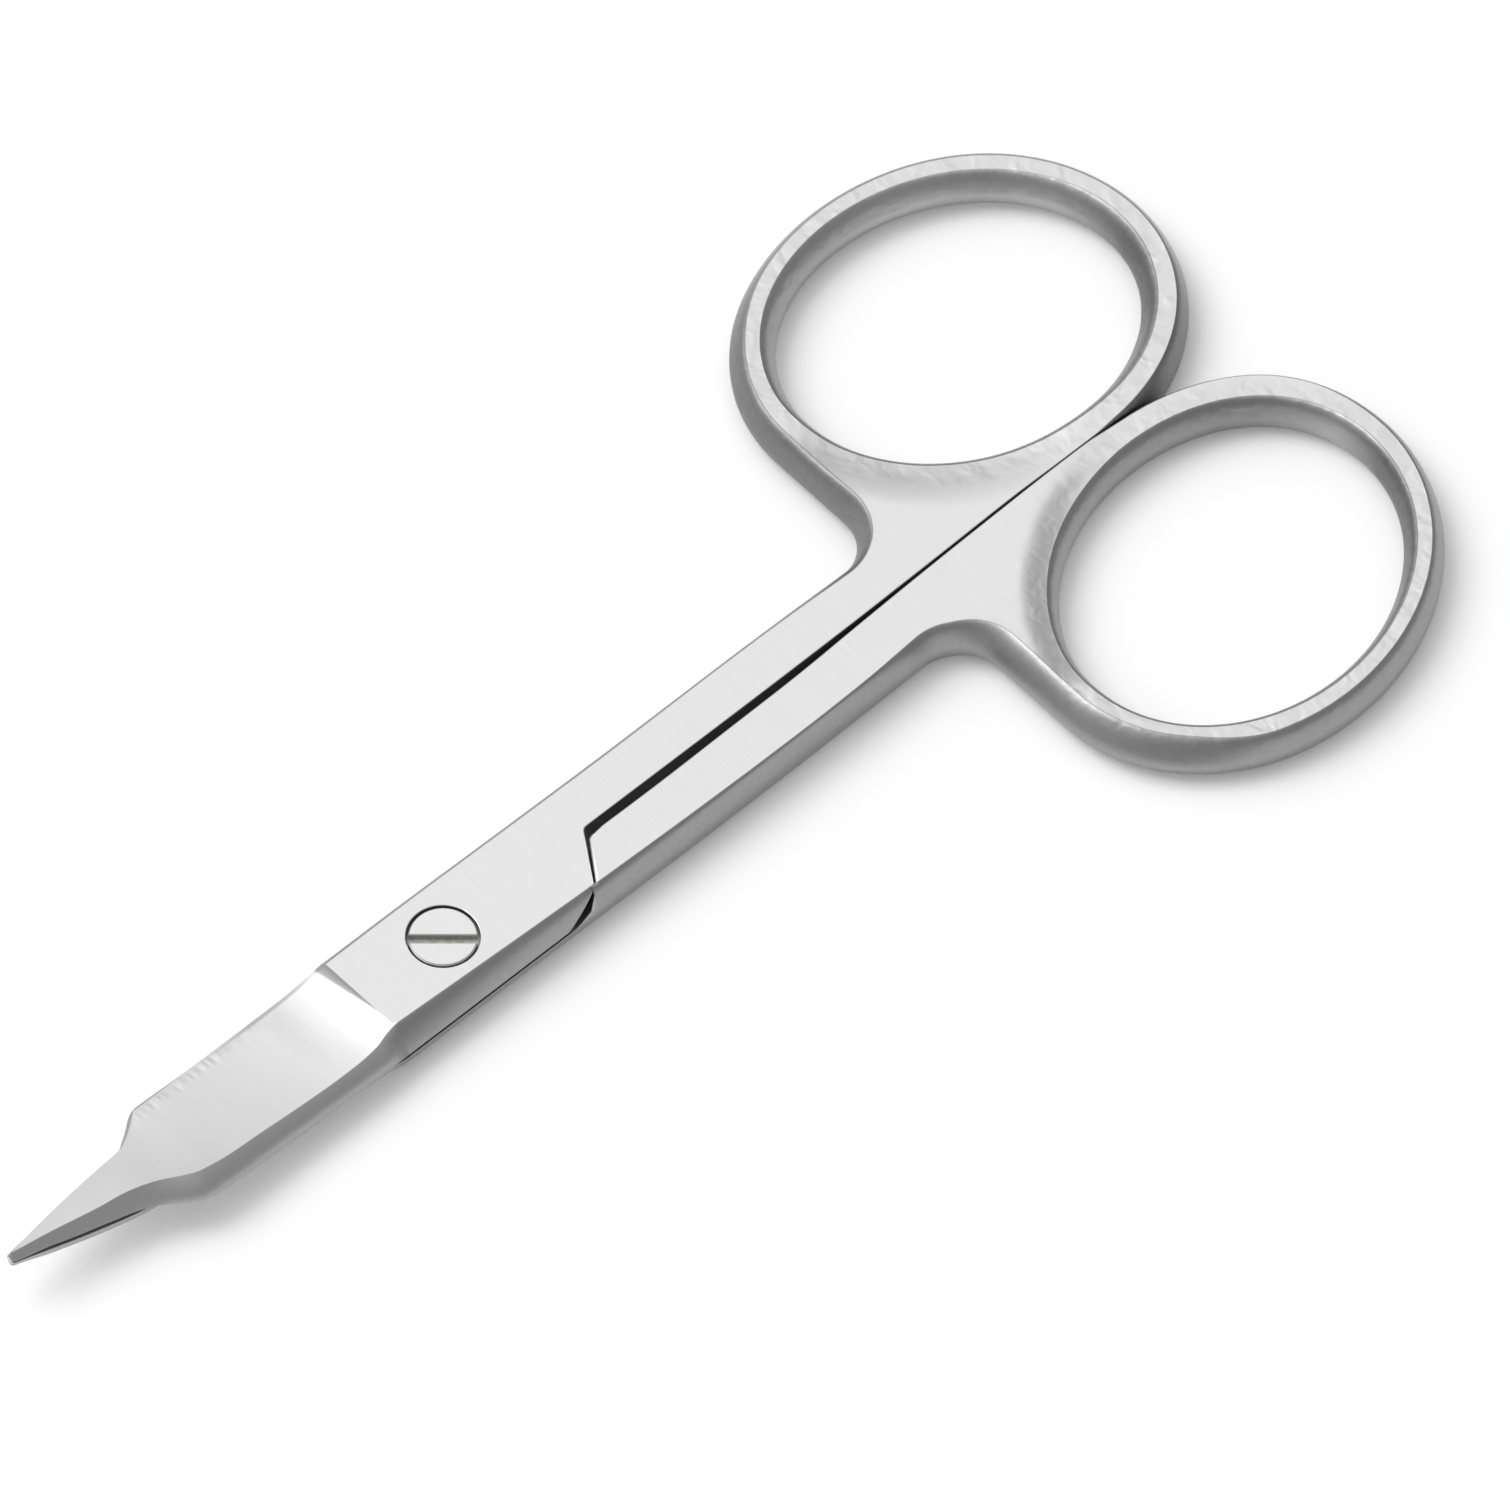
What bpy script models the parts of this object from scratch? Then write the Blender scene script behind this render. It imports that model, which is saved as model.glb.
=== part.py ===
"""Curved nail scissors: two forged halves that cross at a slotted screw.

Each half is one forging: a curved blade with a beak, a flat pivot plate of half
thickness, a shank of full thickness behind a step, and an oval finger ring.
The screw's axis is the Z axis. The origin is on it, level with the underside
that the scissors rest on. The tips point to +X and curve up, to +Z.
Lengths are in metres.
"""

import math

import bmesh
import bpy

# Thickness of the forgings
PIVOT_THICKNESS = 0.003
RING_THICKNESS = 0.0027
MATING_GAP = 0.0002
SIDE_BULGE = 0.00065

# Pivot plate, and the step where a shank takes over the full thickness
PLATE_HALF_WIDTH = 0.00355
CREASE_FORWARD = 0.0057
STEP_INNER_BACK = 0.0101
STEP_OUTER_BACK = 0.0079
STEP_GAP = 0.0002

# Slot between the shanks, which narrows towards the rings
SHANK_GAP_FRONT = 0.00045
SHANK_GAP_BACK = 0.00015

# Finger rings, measured at mid height, where they are widest
RING_CENTRE_BACK = 0.0468
RING_CENTRE_OUT = 0.01065
HOLE_HALF_LENGTH = 0.01015
HOLE_HALF_WIDTH = 0.00845
RING_WIDTH = 0.0023
RING_TILT_DEG = 13.5
RING_FILLET_RADIUS = 0.0021

# Blade outline, seen from above: the cutting edge and the spine
EDGE_HALF_WIDTH = 0.0033
SHOULDER_FORWARD = 0.0189
NOTCH_FORWARD = 0.0212
NOTCH_HALF_WIDTH = 0.00195
SPINE_ROOT_HALF_WIDTH = 0.00275
KNEE_FORWARD = 0.0193
KNEE_HALF_WIDTH = 0.00236
TIP_FORWARD = 0.0305
TIP_HALF_WIDTH = 0.00012

# Blade section: ground from a thick spine to a thin cutting edge
GRIND_RAMP = 0.0026
SPINE_ROOT_THICKNESS = 0.00095
KNEE_THICKNESS = 0.0011
TIP_THICKNESS = 0.0003
EDGE_THICKNESS = 0.0002
NOTCH_THICKNESS = 0.0005
SPINE_ROOT_BULGE = 0.0006
SPINE_TIP_BULGE = 0.00008
ROOT_OVERLAP = 0.0011
ROOT_INSET = 0.00003

# Upward curve of the blades, which begins ahead of the plate
CURVE_START = 0.008
CURVE_RADIUS = 0.15

# Pivot screw
HEAD_RADIUS = 0.00184
HEAD_DEPTH = 0.0007
HEAD_CHAMFER = 0.00008
NECK_RADIUS = 0.0011
SLOT_WIDTH = 0.0005
SLOT_DEPTH = 0.0004
SLOT_OFF_CENTRE = 0.00015
SLOT_TURN_DEG = 137.4
HEAD_CLEARANCE = 0.00008
SEAT_CLEARANCE = 0.0001
NECK_CLEARANCE = 0.00008

# How far a cutter runs past the metal that it cuts
OVERRUN = 0.002

# Shapes of the curves, as powers, and the side's facet, as shares of its quarter round
NOTCH_POWER = 1.7
BEAK_POWER = 1.9
SPINE_POWER = 2.5
THINNING_POWER = 2
BULGE_POWER = 3
GRIND_POWER = 2
FACET_SHARE = math.sqrt(0.5)
TOP_FACE_SHARES = (0, 1 / 3, 2 / 3, 1)
MATING_FACE_SHARES = (0.25, 0.5, 0.75)
SIDE_HEIGHT_SHARE = 0.55
SIDE_BULGE_SHARE = 0.75
SMOOTH_ANGLE_DEG = 25

# Fineness of the meshes
RING_STEPS = 72
FILLET_STEPS = 8
ROUND_STEPS = 48
WELD_DISTANCE = 0.000001

UPPER = 1
LOWER = -1


# Places that follow from the sizes
MATING_HEIGHT = PIVOT_THICKNESS / 2
RING_HALF_LENGTH = HOLE_HALF_LENGTH + RING_WIDTH
RING_HALF_WIDTH = HOLE_HALF_WIDTH + RING_WIDTH
RING_TILT = math.radians(RING_TILT_DEG)
LAYER_THICKNESS = (PIVOT_THICKNESS - MATING_GAP) / 2
HANDLE_BACK = RING_CENTRE_BACK + RING_HALF_LENGTH


def between(start, end, share):
    """The value at a share of the way from start to end."""
    return start + (end - start) * share


def share_of(value, start, end):
    """How far value lies from start to end, held between 0 and 1."""
    return min(max((value - start) / (end - start), 0), 1)


def thickness_at(x):
    """Full thickness of the forging, which tapers evenly from pivot to rings."""
    return between(PIVOT_THICKNESS, RING_THICKNESS, -x / HANDLE_BACK)


def rise_at(radius):
    """Height that the blades' mating surface has climbed at a radius from the screw."""
    run = max(radius - CURVE_START, 0)
    return CURVE_RADIUS - math.sqrt(CURVE_RADIUS**2 - run**2)


def half_gap_at(x):
    """Half the slot between the shanks, from the step to where the rings meet."""
    share = share_of(-x, STEP_INNER_BACK, RING_CENTRE_BACK)
    return between(SHANK_GAP_FRONT, SHANK_GAP_BACK, share) / 2


# Outlines of a handle whose ring lies on the +Y side


def ring_point(half_length, half_width, turn):
    """A point on an oval that leans with the finger ring."""
    along = half_length * math.cos(turn)
    across = half_width * math.sin(turn)
    return (
        -RING_CENTRE_BACK + along * math.cos(RING_TILT) - across * math.sin(RING_TILT),
        RING_CENTRE_OUT + along * math.sin(RING_TILT) + across * math.cos(RING_TILT),
    )


def ring_turn_facing(x, y):
    """The turn at which the ring's outer oval runs along the direction x, y."""
    along = x * math.cos(RING_TILT) + y * math.sin(RING_TILT)
    across = -x * math.sin(RING_TILT) + y * math.cos(RING_TILT)
    return math.atan2(-along / RING_HALF_LENGTH, across / RING_HALF_WIDTH)


def leaving_turn():
    """Where the outline leaves the ring for a straight run to the plate's far side."""
    slope = 0
    for _ in range(6):
        turn = ring_turn_facing(1, -slope)
        x, y = ring_point(RING_HALF_LENGTH, RING_HALF_WIDTH, turn)
        slope = (y + PLATE_HALF_WIDTH) / (-STEP_INNER_BACK - x)
    return turn


def handle_outline():
    """The forging's outline at mid height, from the plate's front round the ring."""
    front = CREASE_FORWARD + OVERRUN
    first = ring_turn_facing(0, 1)
    last = leaving_turn()
    if last < first:
        last += math.tau
    near_x = ring_point(RING_HALF_LENGTH, RING_HALF_WIDTH, first)[0]
    points = [(front, PLATE_HALF_WIDTH)]
    for step in range(FILLET_STEPS + 1):
        turn = math.pi / 2 * step / FILLET_STEPS
        points.append(
            (
                near_x + RING_FILLET_RADIUS * (1 - math.sin(turn)),
                PLATE_HALF_WIDTH + RING_FILLET_RADIUS * (1 - math.cos(turn)),
            )
        )
    for step in range(RING_STEPS + 1):
        turn = between(first, last, step / RING_STEPS)
        points.append(ring_point(RING_HALF_LENGTH, RING_HALF_WIDTH, turn))
    points.append((-STEP_INNER_BACK, -PLATE_HALF_WIDTH))
    points.append((front, -PLATE_HALF_WIDTH))
    return points


def hole_outline():
    """The finger hole's outline at mid height."""
    points = []
    for step in range(RING_STEPS):
        turn = math.tau * step / RING_STEPS
        points.append(ring_point(HOLE_HALF_LENGTH, HOLE_HALF_WIDTH, turn))
    return points


def step_slope():
    """Change of x per change of y along the step's slanted wall."""
    return (STEP_INNER_BACK - STEP_OUTER_BACK) / PLATE_HALF_WIDTH


def behind_plate_outline():
    """What is taken off behind the plate: the room for the other half's shank."""
    side = PLATE_HALF_WIDTH + OVERRUN
    return [
        (-STEP_INNER_BACK, half_gap_at(-STEP_INNER_BACK)),
        (-HANDLE_BACK, half_gap_at(-HANDLE_BACK)),
        (-HANDLE_BACK, -side),
        (-STEP_INNER_BACK + step_slope() * side, -side),
    ]


def ahead_of_shank_outline():
    """What is taken off ahead of the shank: the room for the other half's plate."""
    side = PLATE_HALF_WIDTH + OVERRUN
    front = CREASE_FORWARD + OVERRUN * 2
    wall = STEP_INNER_BACK + STEP_GAP
    return [
        (front, side),
        (-wall + step_slope() * side, side),
        (-wall, 0),
        (-wall, -side),
        (front, -side),
    ]


def ahead_of_crease_outline():
    """What is taken off ahead of the crease, where the ground blade takes over."""
    side = PLATE_HALF_WIDTH + OVERRUN
    front = CREASE_FORWARD + OVERRUN * 2
    return [(CREASE_FORWARD, side), (CREASE_FORWARD, -side), (front, -side), (front, side)]


# Scene, materials and helpers for the meshes


def clear_scene():
    for thing in list(bpy.data.objects):
        bpy.data.objects.remove(thing, do_unlink=True)


def new_collection(name):
    collection = bpy.data.collections.new(name)
    bpy.context.scene.collection.children.link(collection)
    return collection


def steel(name, shade, roughness):
    material = bpy.data.materials.new(name)
    material.use_nodes = True
    shader = material.node_tree.nodes["Principled BSDF"]
    shader.inputs["Base Color"].default_value = (shade, shade, shade, 1)
    shader.inputs["Metallic"].default_value = 1
    shader.inputs["Roughness"].default_value = roughness
    return material


def flat_curve(name, outlines, side):
    """A filled 2D curve of closed outlines, mirrored in Y where side is -1."""
    curve = bpy.data.curves.new(name, "CURVE")
    curve.dimensions = "2D"
    curve.fill_mode = "BOTH"
    for outline in outlines:
        spline = curve.splines.new("POLY")
        spline.points.add(len(outline) - 1)
        spline.use_cyclic_u = True
        for point, (x, y) in zip(spline.points, outline):
            point.co = (x, side * y, 0, 1)
    return curve


def curve_to_mesh(name, curve, collection, height):
    """The mesh object of a filled curve, with its caps welded on."""
    drawn = bpy.data.objects.new(name + "_curve", curve)
    collection.objects.link(drawn)
    drawn.location.z = height
    bpy.context.view_layer.update()
    graph = bpy.context.evaluated_depsgraph_get()
    mesh = bpy.data.meshes.new_from_object(drawn.evaluated_get(graph))
    shape = bmesh.new()
    shape.from_mesh(mesh)
    bmesh.ops.remove_doubles(shape, verts=shape.verts, dist=WELD_DISTANCE)
    bmesh.ops.recalc_face_normals(shape, faces=shape.faces)
    shape.to_mesh(mesh)
    shape.free()
    made = bpy.data.objects.new(name, mesh)
    made.matrix_world = drawn.matrix_world.copy()
    collection.objects.link(made)
    bpy.data.objects.remove(drawn)
    return made


def as_tool(made):
    """Marks an object that only cuts or joins."""
    made.hide_render = True
    made.display_type = "WIRE"
    return made


def prism(name, outline, side, low, high, tools):
    """A flat outline carried up from low to high."""
    curve = flat_curve(name, [outline], side)
    curve.extrude = (high - low) / 2
    return as_tool(curve_to_mesh(name, curve, tools, (low + high) / 2))


def drill(name, radius, low, high, tools):
    """A round cutter on the screw's axis."""
    mesh = bpy.data.meshes.new(name)
    shape = bmesh.new()
    bmesh.ops.create_cone(
        shape,
        cap_ends=True,
        segments=ROUND_STEPS,
        radius1=radius,
        radius2=radius,
        depth=high - low,
    )
    bmesh.ops.translate(shape, verts=shape.verts, vec=(0, 0, (low + high) / 2))
    shape.to_mesh(mesh)
    shape.free()
    made = bpy.data.objects.new(name, mesh)
    tools.objects.link(made)
    return as_tool(made)


def combine(made, other, operation):
    modifier = made.modifiers.new(other.name, "BOOLEAN")
    modifier.operation = operation
    modifier.object = other
    modifier.solver = "EXACT"


def shade(made):
    made.data.shade_smooth()
    made.data.set_sharp_from_angle(angle=math.radians(SMOOTH_ANGLE_DEG))


# The forging before it is cut: plate, shank and ring at full thickness


def forging(name, side, collection):
    curve = flat_curve(name, [handle_outline(), hole_outline()], side)
    curve.bevel_depth = SIDE_BULGE
    curve.bevel_resolution = 1
    curve.offset = -SIDE_BULGE
    made = curve_to_mesh(name, curve, collection, 0)
    for vertex in made.data.vertices:
        height_share = (vertex.co.z + SIDE_BULGE) / (SIDE_BULGE * 2)
        vertex.co.z = thickness_at(vertex.co.x) * height_share
    return made


# The ground blade, a loft along X. Sections are lists of (y, t): y towards the
# half's own ring, where the cutting edge is, and t away from the mating surface


def edge_reach(x):
    """How far the cutting edge lies from the centre line."""
    if x <= NOTCH_FORWARD:
        left = 1 - share_of(x, SHOULDER_FORWARD, NOTCH_FORWARD)
        return between(NOTCH_HALF_WIDTH, EDGE_HALF_WIDTH, left**NOTCH_POWER)
    share = share_of(x, NOTCH_FORWARD, TIP_FORWARD)
    return between(NOTCH_HALF_WIDTH, TIP_HALF_WIDTH, share**BEAK_POWER)


def spine_reach(x):
    """How far the spine's top edge lies from the centre line, on the other side."""
    if x <= KNEE_FORWARD:
        share = share_of(x, CREASE_FORWARD, KNEE_FORWARD)
        return between(SPINE_ROOT_HALF_WIDTH, KNEE_HALF_WIDTH, share)
    left = 1 - share_of(x, KNEE_FORWARD, TIP_FORWARD)
    return between(TIP_HALF_WIDTH, KNEE_HALF_WIDTH, left**SPINE_POWER)


def spine_thickness(x):
    if x <= KNEE_FORWARD:
        share = share_of(x, CREASE_FORWARD, KNEE_FORWARD)
        return between(SPINE_ROOT_THICKNESS, KNEE_THICKNESS, share)
    share = share_of(x, KNEE_FORWARD, TIP_FORWARD)
    return between(KNEE_THICKNESS, TIP_THICKNESS, share**THINNING_POWER)


def edge_thickness(x):
    """Thin along the cutting edge, and thicker where the notch cuts into the blade."""
    if x <= NOTCH_FORWARD:
        share = share_of(x, SHOULDER_FORWARD, NOTCH_FORWARD)
        return between(EDGE_THICKNESS, NOTCH_THICKNESS, share)
    share = share_of(x, NOTCH_FORWARD, TIP_FORWARD)
    return between(NOTCH_THICKNESS, TIP_THICKNESS, share)


def closed_section(edge_side, spine_side, bottom_edge, bottom_spine):
    """Joins a section's two sides by its top face and its mating face."""
    top_edge, top_spine = edge_side[-1], spine_side[0]
    top = [
        (between(top_edge[0], top_spine[0], share), between(top_edge[1], top_spine[1], share))
        for share in TOP_FACE_SHARES
    ]
    bottom = [
        (between(bottom_spine[0], bottom_edge[0], share), bottom_edge[1])
        for share in MATING_FACE_SHARES
    ]
    return [bottom_edge, *edge_side[:-1], *top, *spine_side[1:], bottom_spine, *bottom]


def blade_section(x):
    edge, spine = edge_reach(x), spine_reach(x)
    edge_t, spine_t = edge_thickness(x), spine_thickness(x)
    flatter = share_of(x, CREASE_FORWARD, TIP_FORWARD) ** BULGE_POWER
    bulge = between(SPINE_ROOT_BULGE, SPINE_TIP_BULGE, flatter)
    return closed_section(
        [(edge, edge_t / 2), (edge, edge_t)],
        [(-spine, spine_t), (-spine - bulge * SIDE_BULGE_SHARE, spine_t * SIDE_HEIGHT_SHARE)],
        (edge, 0),
        (-spine - bulge, 0),
    )


def root_section():
    """The plate's own section, a little smaller, so that the blade grows out of it."""
    outer = PLATE_HALF_WIDTH - ROOT_INSET
    facet = outer - SIDE_BULGE * (1 - FACET_SHARE)
    facet_t = MATING_HEIGHT * FACET_SHARE - MATING_GAP / 2
    top = outer - SIDE_BULGE
    top_t = LAYER_THICKNESS - ROOT_INSET
    return closed_section(
        [(facet, facet_t), (top, top_t)],
        [(-top, top_t), (-facet, facet_t)],
        (outer, ROOT_INSET),
        (-outer, ROOT_INSET),
    )


def section_at(x):
    """The root section behind the crease, hollow ground to the blade's over the ramp."""
    left = 1 - share_of(x, CREASE_FORWARD, CREASE_FORWARD + GRIND_RAMP)
    ground = 1 - left**GRIND_POWER
    return [
        (between(y0, y1, ground), between(t0, t1, ground))
        for (y0, t0), (y1, t1) in zip(root_section(), blade_section(max(x, CREASE_FORWARD)))
    ]


def stations():
    """Where the blade's sections stand, closer together where its outline turns."""
    stretches = [
        (CREASE_FORWARD - ROOT_OVERLAP, CREASE_FORWARD, 1),
        (CREASE_FORWARD, CREASE_FORWARD + GRIND_RAMP, 4),
        (CREASE_FORWARD + GRIND_RAMP, SHOULDER_FORWARD, 7),
        (SHOULDER_FORWARD, NOTCH_FORWARD, 4),
        (NOTCH_FORWARD, TIP_FORWARD, 10),
    ]
    places = {KNEE_FORWARD, TIP_FORWARD}
    for start, end, count in stretches:
        places.update(between(start, end, step / count) for step in range(count))
    return sorted(places)


def blade(name, layer, tools):
    """The loft through all the sections, bent up with the mating surface."""
    side = -layer
    shape = bmesh.new()
    rings = []
    for x in stations():
        ring = []
        for y, t in section_at(x):
            z = MATING_HEIGHT + rise_at(math.hypot(x, y)) + layer * (MATING_GAP / 2 + t)
            ring.append(shape.verts.new((x, side * y, z)))
        rings.append(ring)
    for before, after in zip(rings, rings[1:]):
        for i in range(len(before)):
            j = (i + 1) % len(before)
            shape.faces.new((before[i], before[j], after[j], after[i]))
    shape.faces.new(rings[0])
    shape.faces.new(rings[-1])
    bmesh.ops.recalc_face_normals(shape, faces=shape.faces)
    mesh = bpy.data.meshes.new(name)
    shape.to_mesh(mesh)
    shape.free()
    made = bpy.data.objects.new(name, mesh)
    tools.objects.link(made)
    return as_tool(made)


# The pieces


def half(name, layer, parts, tools):
    """One forged half. The upper half's ring lies on the -Y side, the lower's on +Y."""
    side = -layer
    bottom, top = -OVERRUN, PIVOT_THICKNESS + OVERRUN
    face = MATING_HEIGHT + layer * MATING_GAP / 2
    low, high = (bottom, face) if layer == UPPER else (face, top)
    made = forging(name, side, parts)
    cuts = [
        prism(name + "_behind_plate", behind_plate_outline(), side, bottom, top, tools),
        prism(name + "_ahead_of_shank", ahead_of_shank_outline(), side, low, high, tools),
        prism(name + "_ahead_of_crease", ahead_of_crease_outline(), side, bottom, top, tools),
    ]
    for cut in cuts:
        combine(made, cut, "DIFFERENCE")
    combine(made, blade(name + "_blade", layer, tools), "UNION")
    hole = drill(name + "_hole", NECK_RADIUS + NECK_CLEARANCE, bottom, top, tools)
    combine(made, hole, "DIFFERENCE")
    shade(made)
    return made


def upper_half(parts, tools):
    """The half that turns. Its plate holds the sunk seat of the screw's head."""
    made = half("upper_half", UPPER, parts, tools)
    seat = drill(
        "upper_half_seat",
        HEAD_RADIUS + HEAD_CLEARANCE,
        PIVOT_THICKNESS - HEAD_DEPTH - SEAT_CLEARANCE,
        PIVOT_THICKNESS + OVERRUN,
        tools,
    )
    combine(made, seat, "DIFFERENCE")
    return made


def screw_profile():
    """Half the screw's outline, from the middle of its head down to its end."""
    return [
        (0, PIVOT_THICKNESS),
        (HEAD_RADIUS - HEAD_CHAMFER, PIVOT_THICKNESS),
        (HEAD_RADIUS, PIVOT_THICKNESS - HEAD_CHAMFER),
        (HEAD_RADIUS, PIVOT_THICKNESS - HEAD_DEPTH),
        (NECK_RADIUS, PIVOT_THICKNESS - HEAD_DEPTH),
        (NECK_RADIUS, 0),
        (0, 0),
    ]


def pivot_screw(parts, tools):
    """The turned screw, with a slot sawn across its head, a little off its middle."""
    profile = screw_profile()
    mesh = bpy.data.meshes.new("pivot_screw")
    corners = [(radius, 0, height) for radius, height in profile]
    mesh.from_pydata(corners, [(i, i + 1) for i in range(len(corners) - 1)], [])
    made = bpy.data.objects.new("pivot_screw", mesh)
    parts.objects.link(made)
    turned = made.modifiers.new("turned", "SCREW")
    turned.steps = ROUND_STEPS
    turned.render_steps = ROUND_STEPS
    turned.use_merge_vertices = True
    turned.merge_threshold = WELD_DISTANCE

    slot_mesh = bpy.data.meshes.new("screw_slot")
    shape = bmesh.new()
    bmesh.ops.create_cube(shape, size=1)
    reach = (HEAD_RADIUS + OVERRUN) * 2
    bmesh.ops.scale(shape, verts=shape.verts, vec=(reach, SLOT_WIDTH, SLOT_DEPTH * 2))
    shape.to_mesh(slot_mesh)
    shape.free()
    slot = bpy.data.objects.new("screw_slot", slot_mesh)
    turn = math.radians(SLOT_TURN_DEG)
    slot.location.x = SLOT_OFF_CENTRE * math.sin(turn)
    slot.location.y = -SLOT_OFF_CENTRE * math.cos(turn)
    slot.location.z = PIVOT_THICKNESS
    slot.rotation_euler.z = turn
    tools.objects.link(as_tool(slot))
    combine(made, slot, "DIFFERENCE")
    return made


def main():
    clear_scene()
    parts = new_collection("curved_nail_scissors")
    tools = new_collection("cutters")
    satin_steel = steel("satin_steel", 0.62, 0.34)
    screw_steel = steel("screw_steel", 0.6, 0.28)
    upper_half(parts, tools).data.materials.append(satin_steel)
    half("lower_half", LOWER, parts, tools).data.materials.append(satin_steel)
    pivot_screw(parts, tools).data.materials.append(screw_steel)


main()
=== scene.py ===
# %% [markdown]
# # Curved nail scissors
#
# Three pieces of stainless steel: an upper half, a lower half and the slotted screw
# that they turn on. Each half is one forging, so each is built here as one mesh whose
# surface runs on from the ground blade over the flat plate and the shank to the ring.
# The imported model is loaded first. It gives the bodies that the pieces move with.

# %% Load the imported model
import math
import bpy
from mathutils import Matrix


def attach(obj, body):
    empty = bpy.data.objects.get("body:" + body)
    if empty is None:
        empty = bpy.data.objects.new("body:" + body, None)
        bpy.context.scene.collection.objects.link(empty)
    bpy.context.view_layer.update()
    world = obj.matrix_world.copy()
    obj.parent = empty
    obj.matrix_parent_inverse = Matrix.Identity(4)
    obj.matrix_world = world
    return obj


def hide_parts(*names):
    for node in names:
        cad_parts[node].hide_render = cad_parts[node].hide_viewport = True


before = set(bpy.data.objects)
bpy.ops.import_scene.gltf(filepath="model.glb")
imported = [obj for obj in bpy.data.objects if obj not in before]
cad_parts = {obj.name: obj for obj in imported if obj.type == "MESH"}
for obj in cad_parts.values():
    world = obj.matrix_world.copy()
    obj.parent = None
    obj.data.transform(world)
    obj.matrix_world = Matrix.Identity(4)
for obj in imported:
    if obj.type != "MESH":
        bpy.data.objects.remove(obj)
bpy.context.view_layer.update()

from types import SimpleNamespace

import bmesh
import bpy
import numpy as np
from mathutils import Matrix, Vector
from mathutils.geometry import delaunay_2d_cdt

# %% [markdown]
# ## Sizes
#
# Everything below is in millimetres, because a thumb-sized tool is easier to think
# about that way, and one factor turns it to metres when a mesh is made. X runs along
# the scissors to the tips and Z is up. Both halves are drawn with the ring on the +Y
# side, and the upper one is mirrored when its mesh is made. A mirrored copy could be
# the second half, but hand grinding left the two a little different, so a size has two
# values. One that changes along the scissors has stations along X, and its values.

# %% Driving sizes, in millimetres
MM = 0.001
PIVOT_THICKNESS, RING_THICKNESS = 3.0, 2.7
HANDLE_BACK = -59.25
MID, HALF_GAP = PIVOT_THICKNESS / 2, 0.1
CREASE, PLATE_FAR = 5.7, 3.62
STEP_INNER, STEP_SLOPE, STEP_GAP, SHANK_FRONT = -10.04, 0.675, 0.18, -8.0
RING_TILT = math.radians(13.5)


def through(x, stations, values):
    """A smooth curve through values at stations, for sizes that change along X."""
    stations, values = np.array(stations, float), np.array(values, float)
    slopes = np.gradient(values, stations)
    x = np.clip(x, stations[0], stations[-1])
    i = np.clip(np.searchsorted(stations, x) - 1, 0, len(stations) - 2)
    width = stations[i + 1] - stations[i]
    s = (x - stations[i]) / width
    return (
        values[i] * (1 + 2 * s) * (1 - s) ** 2
        + slopes[i] * width * s * (1 - s) ** 2
        + values[i + 1] * s * s * (3 - 2 * s)
        + slopes[i + 1] * width * s * s * (s - 1)
    )


def smooth(value, low, high):
    """0 below low and 1 above high, with a soft change between them."""
    share = np.clip((value - low) / (high - low), 0, 1)
    return share * share * (3 - 2 * share)


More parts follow.
